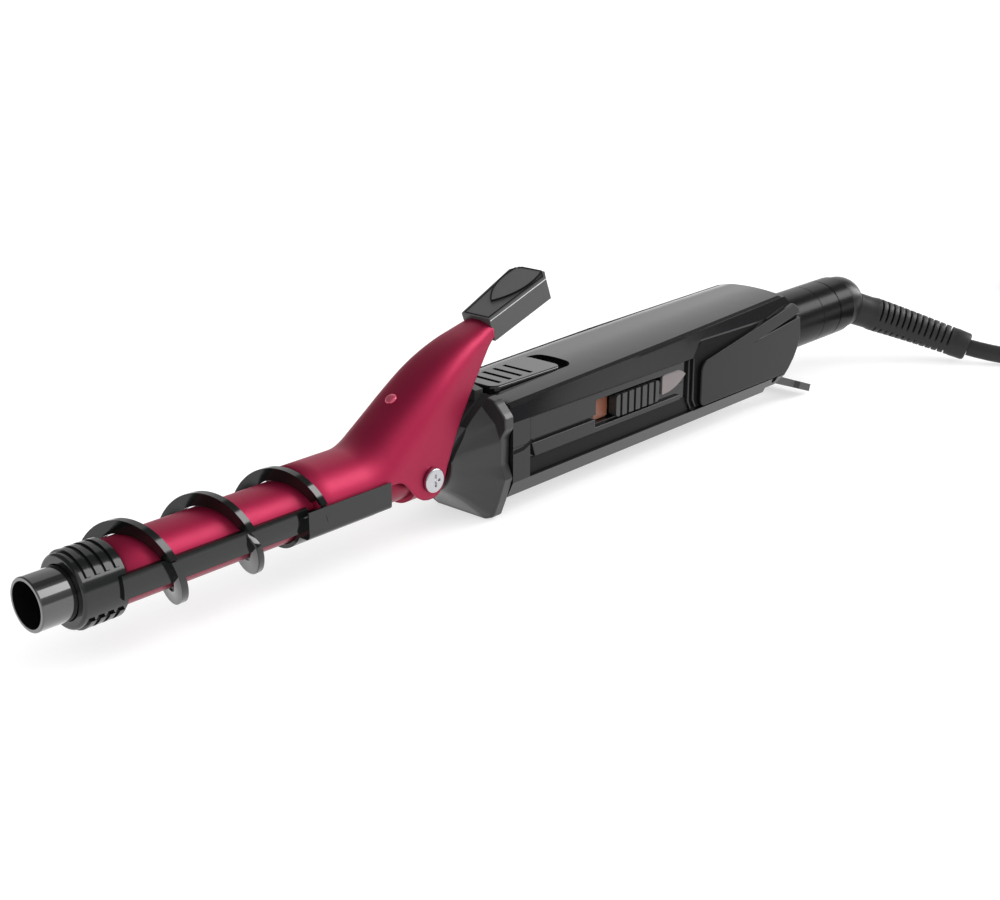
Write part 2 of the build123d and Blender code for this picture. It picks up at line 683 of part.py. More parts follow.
def hood_profile(inset):
    """Side view of the lever hood; inset drops the ridge and runs the other edges past the sheet."""
    extra = 3.0 if inset else 0.0
    ridge = [(x + 0.45 * inset, AXIS_Z + z - inset) for x, z in RIDGE]
    underside = [(x + extra, AXIS_Z + z - extra) for x, z in REAR_EDGE]
    underside += [
        (PIVOT + 5.6, PIVOT_Z - 2.2 - extra), (PIVOT + 2.6, PIVOT_Z - 4.8 - extra),
        (PIVOT - 2.4, PIVOT_Z - 5.0 - extra), (PIVOT - 5.0, PIVOT_Z - 2.4 - extra),
        (PIVOT - 8.5, PIVOT_Z + 1.4 - extra), (PIVOT - 13.5, CLAMP_EDGE_Z + 0.6 - extra),
        (HOOD_FRONT - extra, CLAMP_EDGE_Z - extra),
    ]
    if inset:
        # square ends that run past the sheet in front and behind
        underside.insert(0, (ridge[-1][0] + extra, ridge[-1][1]))
        underside.append((HOOD_FRONT - extra, ridge[0][1]))
    with BuildSketch(side_plane()) as outline:
        with BuildLine():
            Spline(*ridge)
            Polyline(ridge[-1], *underside, ridge[0])
        make_face()
    return outline.sketch


def hood_plan(inset):
    """Top view of the lever hood: full width over the barrel, narrow at the thumb rest."""
    front = HOOD_FRONT - 4
    with BuildSketch(Plane.XY) as outline:
        with BuildLine():
            wide = 11.0 - inset
            middle = 9.7 - inset
            narrow = 5.0 - inset
            ThreePointArc((front, wide), (PIVOT + 8, middle), (HOOD_REAR + 4, narrow))
            Line((HOOD_REAR + 4, narrow), (HOOD_REAR + 4, -narrow))
            ThreePointArc((HOOD_REAR + 4, -narrow), (PIVOT + 8, -middle), (front, -wide))
            Line((front, -wide), (front, wide))
        make_face()
    return outline.sketch


def hood_block(inset, round_r):
    """Solid lever form: the side view cut by the top view, its long upper edges rounded."""
    with BuildPart() as block:
        add(extrude(hood_profile(inset), 14, both=True, mode=Mode.PRIVATE))
        add(extrude(hood_plan(inset), 80, mode=Mode.PRIVATE), mode=Mode.INTERSECT)
        ridge_mid = Vector(PIVOT, 0, AXIS_Z + 24.2)
        long_edges = [e for e in block.edges() if e.length > 40]
        upper = sorted(long_edges, key=lambda e: -(e @ 0.5).Z)[:2]
        fillet(upper, round_r)
    return block.part


def blade(inner, front, rear, step_z):
    """Half-round clamp blade between two stations."""
    with BuildPart() as shell:
        with BuildSketch(x_plane(front)):
            Circle(inner + SHEET)
            Circle(inner, mode=Mode.SUBTRACT)
            with Locations((0, -20 + step_z)):
                Rectangle(60, 40, mode=Mode.SUBTRACT)
        extrude(amount=rear - front)
    return shell.part


hood_outer = hood_block(0.0, 5.0)
hood_inner = hood_block(0.8, 4.3)
with BuildPart() as clamp_plate:
    add(hood_outer)
    add(hood_inner, mode=Mode.SUBTRACT)
    add(blade(BARREL_R + CLAMP_GAP, CLAMP_FRONT, STEP_X, CLAMP_EDGE_Z - AXIS_Z))
    add(blade(STEP_R - SHEET, STEP_X, HOOD_FRONT + 0.5, CLAMP_EDGE_Z - AXIS_Z))
    # web that steps from the slim blade to the wide one
    with BuildSketch(x_plane(STEP_X - SHEET)):
        Circle(STEP_R)
        Circle(BARREL_R + CLAMP_GAP, mode=Mode.SUBTRACT)
        with Locations((0, -20 + CLAMP_EDGE_Z - AXIS_Z)):
            Rectangle(60, 40, mode=Mode.SUBTRACT)
    extrude(amount=SHEET)
    # pivot holes
    with BuildSketch(side_plane()):
        with Locations((PIVOT, PIVOT_Z)):
            Circle(PIVOT_PIN_R + 0.1)
    extrude(amount=14, both=True, mode=Mode.SUBTRACT)
write(clamp_plate, "clamp_plate")

# slots in the nose for the lever's rear edges as the clamp opens
hood_sheet = hood_outer - hood_inner
hinge_axis = Axis((PIVOT, 0, PIVOT_Z), (0, 1, 0))
for opening in (2.0, 4.5, 7.0, 9.5, 12.5):
    for shift in (-0.3, 0.0, 0.3):
        nose_base.part -= hood_sheet.rotate(hinge_axis, opening).moved(Location((0, shift, 0)))
nose_base.part = Part(nose_base.part.solids().sort_by(SortBy.VOLUME)[-1].wrapped)
write(nose_base, "nose_base")

REST_ANGLE = 21.0                    # degrees above level
REST_LENGTH = 27.0
REST_DEEP = 7.4
REST_FRONT_Y = 5.3
REST_REAR_Y = 7.0
rest_origin = Vector(PIVOT + 29.2, 0, AXIS_Z + 37.6)
rest_top = Plane(origin=rest_origin, x_dir=(1, 0, 0), z_dir=(0, 0, 1)).rotated((0, -REST_ANGLE, 0))

with BuildPart() as thumb_rest:
    with BuildSketch(rest_top):
        Polygon(
            (0, -REST_FRONT_Y), (REST_LENGTH - 3, -REST_REAR_Y), (REST_LENGTH, -REST_REAR_Y + 3),
            (REST_LENGTH, REST_REAR_Y - 3), (REST_LENGTH - 3, REST_REAR_Y), (0, REST_FRONT_Y),
            align=None,
        )
    extrude(amount=-REST_DEEP)
    rest_edges = thumb_rest.faces().sort_by(Axis.Z)[-1].edges()
    chamfer(rest_edges, 0.8)
    # raised shield pad for the thumb
    with BuildSketch(rest_top.offset(-0.1)):
        with BuildLine():
            ThreePointArc((7.5, 0), (11, -2.9), (REST_LENGTH - 2.4, -REST_REAR_Y + 2.2))
            Line((REST_LENGTH - 2.4, -REST_REAR_Y + 2.2), (REST_LENGTH - 2.4, REST_REAR_Y - 2.2))
            ThreePointArc((REST_LENGTH - 2.4, REST_REAR_Y - 2.2), (11, 2.9), (7.5, 0))
        make_face()
    extrude(amount=0.6)
    add(hood_outer, mode=Mode.SUBTRACT)
write(thumb_rest, "thumb_rest")

# rivet that holds the leaf spring under the lever
RIVET_X = PIVOT - 4.6
rivet_plane = Plane(origin=(RIVET_X, 0, AXIS_Z + 21.05), x_dir=(0, 1, 0), z_dir=(-0.56, 0, 0.83))
with BuildPart() as lever_rivet:
    with BuildSketch(rivet_plane.offset(0.02)):
        Circle(1.5)
    extrude(amount=0.7)
    fillet(lever_rivet.edges().filter_by(GeomType.CIRCLE).sort_by(Axis.Z)[-1], 0.5)
    with BuildSketch(rivet_plane.offset(-1.9)):
        Circle(0.9)
    extrude(amount=2.0)
    add(hood_outer, mode=Mode.SUBTRACT)
write(lever_rivet, "lever_rivet")

SPRING_WIDTH = 5.0
with BuildPart() as clamp_spring:
    with BuildSketch(side_plane()):
        with BuildLine():
            leaf_start = (RIVET_X - 2.5, AXIS_Z + 17.4)
            leaf_mid = (PIVOT - 2.5, AXIS_Z + 14.2)
            leaf_end = (PIVOT + 3.4, AXIS_Z + 9.75)
            leaf_line = ThreePointArc(leaf_start, leaf_mid, leaf_end)
            offset(leaf_line, amount=0.2)
        make_face()
    extrude(amount=SPRING_WIDTH / 2, both=True)
write(clamp_spring, "clamp_spring")

# ================================================================ spiral ribbon
RIBBON_LEAD = 0.35                   # turns before the first crest, hidden in the collar
RIBBON_TURNS = 2.62
RIBBON_MID_R = (FIN_IN + FIN_R) / 2


def spiral_ribbon():
    """Helical fin whose first crest stands on top of the tong at FIN_CREST."""
    start_x = FIN_CREST - RIBBON_LEAD * FIN_PITCH
    helix = Helix(pitch=FIN_PITCH, height=RIBBON_TURNS * FIN_PITCH, radius=RIBBON_MID_R,
                  center=(start_x, 0, AXIS_Z), direction=(1, 0, 0))
    start = helix @ 0
    start_angle = math.degrees(math.atan2(start.Z - AXIS_Z, start.Y))
    wanted_angle = 90 - 360 * RIBBON_LEAD
    helix = helix.rotate(Axis((0, 0, AXIS_Z), (1, 0, 0)), wanted_angle - start_angle)
    start = helix @ 0
    radial = Vector(0, start.Y, start.Z - AXIS_Z).normalized()
    with BuildPart() as ribbon:
        with BuildSketch(Plane(origin=start, x_dir=radial, z_dir=helix % 0)):
            Rectangle(FIN_R - FIN_IN, FIN_THICK)
        sweep(path=helix, is_frenet=True)
    return ribbon.part


ribbon = spiral_ribbon()
with BuildPart() as clamp_fins:
    add(ribbon)
    split(bisect_by=Plane.XY.offset(FIN_SPLIT_Z + 0.15), keep=Keep.TOP)
    with BuildSketch(x_plane(STEP_X - SHEET - 0.05)):
        Circle(STEP_R + 0.05)
    extrude(amount=20, mode=Mode.SUBTRACT)
write(clamp_fins, "clamp_fins")

COLLAR_R = 9.2
RIB_R = 9.75
with BuildPart() as spiral_sleeve:
    # collar with ribbed thumb grips above and below
    with BuildSketch(x_plane(COLLAR_FRONT)):
        Circle(COLLAR_R)
    extrude(amount=COLLAR_REAR - COLLAR_FRONT)
    front_rim = spiral_sleeve.edges().filter_by(GeomType.CIRCLE).sort_by(Axis.X)[0]
    fillet(front_rim, 0.8)
    for i in range(4):
        with BuildSketch(x_plane(COLLAR_FRONT + 2.0 + 2.6 * i)):
            Circle(RIB_R)
            Rectangle(40, 11, mode=Mode.SUBTRACT)
        extrude(amount=1.5)
    # side rails
    with BuildSketch(x_plane(COLLAR_REAR - 2)):
        Circle(SPINE_OUT)
        Circle(FIN_IN, mode=Mode.SUBTRACT)
        rail_low = SPINE_LOW - AXIS_Z
        rail_high = FIN_SPLIT_Z - AXIS_Z - 0.15
        with Locations((0, rail_high + 20), (0, rail_low - 20)):
            Rectangle(40, 40, mode=Mode.SUBTRACT)
    extrude(amount=CRADLE_FRONT - COLLAR_REAR + 4)
    # lower arcs of the ribbon
    lower_arcs = split(ribbon, bisect_by=Plane.XY.offset(FIN_SPLIT_Z - 0.15),
                       keep=Keep.BOTTOM, mode=Mode.PRIVATE)
    add(lower_arcs.solids())
    # rear cradle under the wide blade
    with BuildSketch(x_plane(CRADLE_FRONT)):
        Circle(9.3)
        with Locations((0, -1.35)):
            RectangleRounded(24.4, 5.9, 1.4)
        with Locations((11.95, 0.5), (-11.95, 0.5)):
            Rectangle(0.5, 5.8)
        with Locations((0, 3.45 + 20)):
            Rectangle(60, 40, mode=Mode.SUBTRACT)
        with Locations((0, 1.6 + 4)):
            Rectangle(2 * 11.68, 8, mode=Mode.SUBTRACT)
    extrude(amount=CRADLE_REAR - CRADLE_FRONT)
    # bores over the tip and over the barrel
    with BuildSketch(x_plane(COLLAR_FRONT - 1)):
        Circle(TIP_R + 0.25)
    extrude(amount=20, mode=Mode.SUBTRACT)
    with BuildSketch(x_plane(BARREL_FRONT - 2.8)):
        Circle(BARREL_R + 0.3)
    extrude(amount=CRADLE_REAR - BARREL_FRONT + 4, mode=Mode.SUBTRACT)
    # room for the slim blade's edges and for the wide blade
    with BuildSketch(x_plane(CLAMP_FRONT - 0.3)):
        Circle(FIN_IN)
        with Locations((0, -20 + 1.6)):
            Rectangle(60, 40, mode=Mode.SUBTRACT)
    extrude(amount=CRADLE_REAR - CLAMP_FRONT, mode=Mode.SUBTRACT)
    with BuildSketch(x_plane(STEP_X - SHEET - 0.3)):
        Circle(STEP_R + 0.28)
        with Locations((0, -20 + 1.6)):
            Rectangle(60, 40, mode=Mode.SUBTRACT)
    extrude(amount=30, mode=Mode.SUBTRACT)
# only the solid is kept: the trimmed ribbon leaves a loose face behind
spiral_sleeve.part = Part(spiral_sleeve.solids()[0].wrapped)
write(spiral_sleeve, "spiral_sleeve")

# ================================================================ cord
CORD_Z = CORD_D / 2 + FLOOR_GAP
COIL_SIDE = 19.4                     # width and height of the bundle of turns
COIL_LIFT = 0.6                      # the tie passes under the coil
coil_x, coil_y = COIL_CENTRE
PLUG_THICK = 13.7
PLUG_WIDTH = 33.0
PLUG_LENGTH = 31.0
PIN_R = 2.0
PIN_LENGTH = 19.0
PIN_SPACING = 18.6
PLUG_Z = COIL_LIFT + COIL_SIDE + PLUG_THICK / 2 + 0.05   # the plug lies on the coil

# route from the strain relief into the south side of the coil, chosen by hand
CORD_ROUTE = [
    RELIEF_END,
    Vector(BALL_X + 37.0, -53.1, CORD_Z),
    Vector(BALL_X + 49.0, -66.5, CORD_Z),
    Vector(BALL_X + 67.7, -73.6, CORD_Z),
    Vector(BALL_X + 100.0, -71.5, CORD_Z),
    Vector(BALL_X + 140.0, -69.8, CORD_Z),
    Vector(BALL_X + 172.0, -69.2, CORD_Z),
]
# route of the last turn: out of the coil on its west side and up over its top to the plug
TAIL_R = 33.0
TAIL_RISE = [(198, 12.0), (226, 15.0), (254, 18.0), (282, 21.5), (310, 24.5), (338, 26.4)]
TAIL_ROUTE = []
for tail_angle, tail_z in TAIL_RISE:
    spoke = Vector(TAIL_R, 0, 0).rotate(Axis.Z, tail_angle)
    TAIL_ROUTE.append(Vector(coil_x + spoke.X, coil_y + spoke.Y, tail_z))
TAIL_ROUTE.append(Vector(coil_x + 32.8, coil_y + 3.4, PLUG_Z))


def cord_run(name, route):
    """Round cord along straight runs joined by arcs as wide as the runs allow."""
    radii = []
    for before, corner, after in zip(route, route[1:], route[2:]):
        turn = (corner - before).get_angle(after - corner)
        shorter = min((corner - before).length, (after - corner).length)
        radii.append(0.45 * shorter / math.tan(math.radians(turn / 2)))
    with BuildPart() as tube:
        with BuildLine() as path:
            FilletPolyline(*route, radius=radii)
        with BuildSketch(Plane(origin=path.line @ 0, z_dir=path.line % 0)):
            Circle(CORD_D / 2)
        sweep(path=path.line)
    length = sum(edge.length for edge in path.edges())
    section = math.pi * CORD_D**2 / 4
    print(name, "radii", [round(r, 1) for r in radii], "length", round(length, 1),
          "volume ratio", round(tube.part.volume / (section * length), 4))
    write(tube, name)


cord_run("cord_tube", CORD_ROUTE)
cord_run("cord_tail", TAIL_ROUTE)

with BuildPart() as cord_coil:
    with BuildSketch(Plane.XZ):
        with Locations((COIL_R, COIL_SIDE / 2 + COIL_LIFT)):
            RectangleRounded(COIL_SIDE, COIL_SIDE, 6)
    revolve(axis=Axis.Z)
cord_coil.part = cord_coil.part.moved(Location((coil_x, coil_y, 0)))
write(cord_coil, "cord_coil")

with BuildPart() as cord_tie:
    tie_plane = Plane(origin=(coil_x, coil_y + COIL_R, COIL_SIDE / 2 + COIL_LIFT),
                      x_dir=(0, 1, 0), z_dir=(1, 0, 0))
    with BuildSketch(tie_plane):
        RectangleRounded(COIL_SIDE + 1.1, COIL_SIDE + 1.1, 6.5)
        RectangleRounded(COIL_SIDE + 0.3, COIL_SIDE + 0.3, 5.9, mode=Mode.SUBTRACT)
    extrude(amount=2.5, both=True)
write(cord_tie, "cord_tie")

plug_dir = (TAIL_ROUTE[-1] - TAIL_ROUTE[-2])
plug_dir = Vector(plug_dir.X, plug_dir.Y, 0).normalized()
plug_rear = TAIL_ROUTE[-1]
plug_across = Vector(plug_dir.Y, -plug_dir.X, 0)
with BuildPart() as plug_body:
    for distance, width, thick, corner in ((0, 9, 9, 3.5), (9, 15, 11, 4.5),
                                           (18, PLUG_WIDTH, PLUG_THICK, 5.5),
                                           (PLUG_LENGTH, PLUG_WIDTH - 2, PLUG_THICK - 0.4, 5.5)):
        plane = Plane(origin=plug_rear + plug_dir * distance, x_dir=plug_across, z_dir=plug_dir)
        with BuildSketch(plane):
            RectangleRounded(width, thick, corner)
    loft(ruled=True)
write(plug_body, "plug_body")

with BuildPart() as plug_pins:
    pin_plane = Plane(origin=plug_rear + plug_dir * PLUG_LENGTH, x_dir=plug_across, z_dir=plug_dir)
    with BuildSketch(pin_plane):
        with GridLocations(PIN_SPACING, 0, 2, 1):
            Circle(PIN_R)
    extrude(amount=PIN_LENGTH)
    fillet(plug_pins.faces().filter_by(GeomType.PLANE).sort_by(Axis((0, 0, 0), plug_dir))[-2:].edges(), 0.6)
write(plug_pins, "plug_pins")
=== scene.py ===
"""Looks of the curling iron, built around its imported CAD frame.

Lengths are in metres, except in the trim that is laid out in mm with placed().
"""

import math

import bmesh
import bpy
from mathutils import Matrix, Vector


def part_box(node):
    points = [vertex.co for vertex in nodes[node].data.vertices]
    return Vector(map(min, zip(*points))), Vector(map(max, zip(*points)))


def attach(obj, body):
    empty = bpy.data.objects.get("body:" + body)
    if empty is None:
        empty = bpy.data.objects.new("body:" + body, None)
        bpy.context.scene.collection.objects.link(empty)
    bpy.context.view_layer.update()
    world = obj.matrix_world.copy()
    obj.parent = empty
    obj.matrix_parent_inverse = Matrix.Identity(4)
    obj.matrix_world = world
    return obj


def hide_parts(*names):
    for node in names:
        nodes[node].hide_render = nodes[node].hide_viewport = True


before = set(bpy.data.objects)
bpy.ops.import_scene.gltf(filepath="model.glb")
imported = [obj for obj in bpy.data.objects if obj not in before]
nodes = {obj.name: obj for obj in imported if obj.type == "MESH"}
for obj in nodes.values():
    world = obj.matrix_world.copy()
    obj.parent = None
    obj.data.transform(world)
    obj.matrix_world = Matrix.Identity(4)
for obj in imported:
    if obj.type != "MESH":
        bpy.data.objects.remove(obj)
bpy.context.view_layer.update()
scene = bpy.context.scene

# Places repeated from the CAD model
PIVOT = -0.06245                     # x of the clamp's pivot
AXIS_Z = 0.020                       # height of the barrel's axis
SWIVEL_Z = 0.023
BALL = Vector((PIVOT + 0.234, 0, SWIVEL_Z))
RELIEF_END = BALL + Vector((0.032, -0.0404, -0.017))
COIL = Vector((BALL.x + 0.176, -0.037, 0))
COIL_R = 0.032
CORD_D = 0.0064
CORD_Z = 0.0033                      # height of the cord's middle where it lies on the floor


# ---------------------------------------------------------------- camera
CAMERA_PLACE = (-0.3418, -0.2849, 0.1675)
CAMERA_PITCH = -19.68                # degrees up from level
CAMERA_YAW = -48.24

camera_data = bpy.data.cameras.new("camera")
camera_data.lens = 55.0
camera_data.sensor_width = 36.0
camera = bpy.data.objects.new("camera", camera_data)
camera.location = CAMERA_PLACE
camera.rotation_euler = (math.radians(90 + CAMERA_PITCH), 0, math.radians(CAMERA_YAW))
scene.collection.objects.link(camera)
scene.camera = camera


# ---------------------------------------------------------------- cord
# from the strain relief to the coil: x from the ball, and y
LEAD = [(0.0370, -0.0531), (0.0490, -0.0665), (0.0677, -0.0736), (0.1000, -0.0740),
        (0.1400, -0.0755)]
STEPS = 16                           # cord points in one turn of the coil
# where each turn lies, in cord diameters out from the coil's radius and up from the floor
LANES = [(1, 0), (0, 0), (-1, 0), (-1, 1), (0, 1), (1, 1), (0.6, 2), (-0.4, 2)]
LANE_GAP = 1.01                      # diameters between neighbouring turns
CHANGE_FROM = 0.75                   # share of a turn after which it moves to the next lane
SHORT_OF_LAST = 5                    # points left off the last turn
# from the last turn up to the plug: angle round the coil in degrees, and height
RISE = [(198, 0.0186), (226, 0.0195), (254, 0.0210), (282, 0.0222), (310, 0.0240), (338, 0.0262)]
RISE_R = 0.033
PLUG_ENTRY = Vector((0.0328, 0.0034, 0.0269))      # end of the cord, from the coil's middle


def coil_turns(start_angle, count):
    """Turns of the put-away coil, beside and on each other; each steps to its next lane late."""
    points = []
    last = len(LANES) - 1
    for i in range(count):
        angle = start_angle + 2 * math.pi * i / STEPS
        lane = min(i // STEPS, last)
        here, there = LANES[lane], LANES[min(lane + 1, last)]
        part = 0.0
        if lane < last:
            part = max(0.0, (i / STEPS - lane - CHANGE_FROM) / (1 - CHANGE_FROM))
        out = here[0] + (there[0] - here[0]) * part
        up = here[1] + (there[1] - here[1]) * part
        radius = COIL_R + out * CORD_D * LANE_GAP
        spot = Vector((radius * math.cos(angle), radius * math.sin(angle), CORD_Z + up * CORD_D))
        points.append(COIL + spot)
    return points


def build_cord():
    """One smooth spline from the strain relief through the coil to the plug."""
    route = [RELIEF_END]
    route += [Vector((BALL.x + x, y, CORD_Z)) for x, y in LEAD]
    route += coil_turns(math.radians(270), len(LANES) * STEPS - SHORT_OF_LAST)
    for degrees, height in RISE:
        angle = math.radians(degrees)
        spoke = Vector((math.cos(angle), math.sin(angle), 0))
        route.append(COIL + spoke * RISE_R + Vector((0, 0, height)))
    route.append(COIL + PLUG_ENTRY)
    curve = bpy.data.curves.new("cord", "CURVE")
    curve.dimensions = "3D"
    curve.bevel_depth = 1.0              # each point's radius carries the cord's real radius
    curve.bevel_resolution = 5
    curve.resolution_u = 6
    curve.use_fill_caps = True
    spline = curve.splines.new("NURBS")
    spline.points.add(len(route) - 1)
    for point, spot in zip(spline.points, route):
        point.co = (*spot, 1)
        point.radius = CORD_D / 2
    spline.order_u = 3
    spline.use_endpoint_u = True
    cord = bpy.data.objects.new("cord", curve)
    scene.collection.objects.link(cord)
    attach(cord, "cord_end")
    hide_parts("cord_tube", "cord_coil", "cord_tail")
    return cord


cord = build_cord()


# ---------------------------------------------------------------- materials
MOTTLE = 60.0                        # noise scale of the broad colour variation
MOULDED = 900.0                      # noise scale of the grain of moulded plastic
SPRAYED = 2500.0                     # noise scale of the grain of the sprayed crimson
GRAIN_DEPTH = 0.0002
GLOSS_SPREAD = 0.15                  # share by which roughness varies up and down


def surface(name, color, roughness, metallic=0.0, specular=0.5, coat=0.0, coat_roughness=0.1,
            vary=0.12, grain=MOULDED, bump=0.02):
    """Procedural finish: mottled colour, uneven gloss and fine moulded or sprayed grain."""
    material = bpy.data.materials.new(name)
    material.use_nodes = True
    tree = material.node_tree
    shader = tree.nodes["Principled BSDF"]
    shader.inputs["Metallic"].default_value = metallic
    shader.inputs["Specular IOR Level"].default_value = specular
    shader.inputs["Coat Weight"].default_value = coat
    shader.inputs["Coat Roughness"].default_value = coat_roughness
    place = tree.nodes.new("ShaderNodeTexCoord")
    broad = tree.nodes.new("ShaderNodeTexNoise")
    broad.inputs["Scale"].default_value = MOTTLE
    broad.inputs["Detail"].default_value = 4.0
    fine = tree.nodes.new("ShaderNodeTexNoise")
    fine.inputs["Scale"].default_value = grain
    fine.inputs["Detail"].default_value = 3.0
    tree.links.new(place.outputs["Object"], broad.inputs["Vector"])
    tree.links.new(place.outputs["Object"], fine.inputs["Vector"])
    tones = tree.nodes.new("ShaderNodeValToRGB")
    tones.color_ramp.elements[0].color = (*[c * (1 - vary) for c in color], 1)
    tones.color_ramp.elements[1].color = (*[min(1, c * (1 + vary)) for c in color], 1)
    tree.links.new(broad.outputs["Fac"], tones.inputs["Fac"])
    tree.links.new(tones.outputs["Color"], shader.inputs["Base Color"])
    gloss = tree.nodes.new("ShaderNodeMapRange")
    gloss.inputs["To Min"].default_value = roughness * (1 - GLOSS_SPREAD)
    gloss.inputs["To Max"].default_value = roughness * (1 + GLOSS_SPREAD)
    tree.links.new(fine.outputs["Fac"], gloss.inputs["Value"])
    tree.links.new(gloss.outputs["Result"], shader.inputs["Roughness"])
    relief = tree.nodes.new("ShaderNodeBump")
    relief.inputs["Strength"].default_value = bump
    relief.inputs["Distance"].default_value = GRAIN_DEPTH
    tree.links.new(fine.outputs["Fac"], relief.inputs["Height"])
    tree.links.new(relief.outputs["Normal"], shader.inputs["Normal"])
    return material


# plastic and rubber
GLOSS = surface("gloss_black", (0.006, 0.006, 0.007), 0.11, specular=0.40)
COVER_GLOSS = surface("cover_gloss", (0.006, 0.006, 0.007), 0.13, specular=0.22)
SWIVEL_GLOSS = surface("swivel_gloss", (0.006, 0.006, 0.006), 0.24, specular=0.07)
TIP_GLOSS = surface("tip_gloss", (0.005, 0.005, 0.006), 0.10, specular=1.0, coat=1.0,
                    coat_roughness=0.05, bump=0.015)
FIN = surface("fin_grey", (0.0045, 0.0055, 0.005), 0.12, specular=0.56, bump=0.03)
CHANNEL = surface("channel_black", (0.006, 0.007, 0.006), 0.38, specular=0.10, bump=0.08)
SATIN = surface("satin_black", (0.010, 0.010, 0.011), 0.34, specular=0.4, bump=0.12)
SHADOW = surface("shadow_black", (0.004, 0.004, 0.004), 0.60, specular=0.1, bump=0.10)
NOSE = surface("nose_black", (0.022, 0.022, 0.023), 0.30, bump=0.10)
KNOB = surface("knob_grey", (0.022, 0.022, 0.022), 0.30, specular=0.45, bump=0.06)
GREY = surface("satin_grey", (0.056, 0.056, 0.057), 0.33, specular=0.45, bump=0.10)
# painted highlight: light grey laid along the thumb rest's edge in place of the light it catches
EDGE_HIGHLIGHT = surface("edge_highlight", (0.55, 0.55, 0.55), 0.30, bump=0.03)
ORANGE = surface("marker_orange", (0.24, 0.085, 0.05), 0.4, bump=0.05)
LENS = surface("lens_pale", (0.17, 0.145, 0.145), 0.25)
RUBBER = surface("cord_rubber", (0.013, 0.013, 0.014), 0.48, specular=0.35, bump=0.25)
# coloured metal
CRIMSON = surface("crimson_metal", (0.375, 0.014, 0.062), 0.54, metallic=0.92, coat=0.22,
                  coat_roughness=0.35, vary=0.06, grain=SPRAYED, bump=0.05)
CRIMSON_DARK = surface("crimson_barrel", (0.25, 0.010, 0.040), 0.35, metallic=0.8, vary=0.06,
                       grain=SPRAYED, bump=0.05)
# painted highlight: the rivet head is the lever's red, and this lighter pink paints in its highlight
RIVET_HIGHLIGHT = surface("rivet_highlight", (0.62, 0.10, 0.17), 0.30, metallic=0.7, vary=0.06, bump=0.03)
# bare metal
CHROME = surface("screw_chrome", (0.52, 0.52, 0.54), 0.20, metallic=1.0)
STEEL = surface("spring_steel", (0.5, 0.5, 0.5), 0.35, metallic=1.0, bump=0.05)
BRASS = surface("contact_brass", (0.72, 0.50, 0.20), 0.3, metallic=1.0, bump=0.05)
ALU = surface("spreader_alu", (0.6, 0.6, 0.6), 0.4, metallic=1.0, bump=0.2)
# parts inside
BOARD = surface("board_green", (0.02, 0.12, 0.04), 0.45, bump=0.1)
PARTS = surface("component_mix", (0.03, 0.03, 0.03), 0.45, bump=0.1)
WIRE = surface("wire_red", (0.30, 0.02, 0.02), 0.5, bump=0.1)
CERAMIC = surface("ceramic_white", (0.75, 0.74, 0.70), 0.55, bump=0.1)

# finishes of the CAD nodes
FINISHES = [
    (GLOSS, "handle_top_shell", "handle_bottom_shell"),
    (COVER_GLOSS, "tail_cover_near", "tail_cover_far"),
    (SWIVEL_GLOSS, "swivel_base", "swivel_ring", "swivel_cap"),
    (TIP_GLOSS, "cool_tip"),
    (FIN, "spiral_sleeve", "clamp_fins", "release_slide"),
    (SATIN, "tong_socket", "swivel_ball", "cord_tie", "plug_insert"),
    (NOSE, "nose_base"),
    (KNOB, "power_knob", "hanging_loop"),
    (GREY, "thumb_rest"),
    (ORANGE, "power_marker"),
    (LENS, "setting_lens"),
    (RUBBER, "strain_relief", "plug_body"),
    (CRIMSON, "clamp_plate", "lever_rivet"),
    (CRIMSON_DARK, "barrel_tube", "pivot_collar"),
    (CHROME, "pivot_screws"),
    (STEEL, "shell_screws", "loop_pins", "release_spring", "clamp_spring"),
    (BRASS, "socket_contacts", "slip_brushes", "slip_rings", "plug_pins", "plug_prongs"),
    (ALU, "heat_spreaders"),
    (BOARD, "circuit_board"),
    (PARTS, "board_components", "slide_switch"),
    (WIRE, "lead_wires", "heater_leads"),
    (CERAMIC, "heater_plate", "thermal_fuse"),
]


def set_finish(piece, material):
    """Give every face of a piece one material."""
    piece.data.materials.clear()
    piece.data.materials.append(material)


for finish, *node_names in FINISHES:
    for node_name in node_names:
        set_finish(nodes[node_name], finish)
set_finish(cord, RUBBER)


# ---------------------------------------------------------------- helpers
def limited(value):
    """Value held between 0 and 1."""
    return max(0.0, min(1.0, value))


def placed(x, y, z):
    """Point given in mm from the pivot (x), the middle plane (y) and the barrel's axis (z)."""
    return Vector((PIVOT + x / 1000, y / 1000, AXIS_Z + z / 1000))


def new_piece(name, form, body, material, smooth_angle, replaced=()):
    """Turn a bmesh into a named piece on a CAD body, with creases above an angle in degrees."""
    bmesh.ops.remove_doubles(form, verts=form.verts, dist=1e-6)
    bmesh.ops.recalc_face_normals(form, faces=form.faces)
    mesh = bpy.data.meshes.new(name)
    form.to_mesh(mesh)
    form.free()
    for face in mesh.polygons:
        face.use_smooth = True
    mesh.set_sharp_from_angle(angle=math.radians(smooth_angle))
    piece = bpy.data.objects.new(name, mesh)
    scene.collection.objects.link(piece)
    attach(piece, body)
    if replaced:
        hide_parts(*replaced)
    set_finish(piece, material)
    return piece


def final_mesh(thing):
    """New mesh of an object as its modifiers or its bevel leave it."""
    bpy.context.view_layer.update()
    graph = bpy.context.evaluated_depsgraph_get()
    return bpy.data.meshes.new_from_object(thing.evaluated_get(graph))


def bake_modifiers(piece):
    """Apply a piece's modifiers to its mesh."""
    baked = final_mesh(piece)
    piece.modifiers.clear()
    piece.data = baked


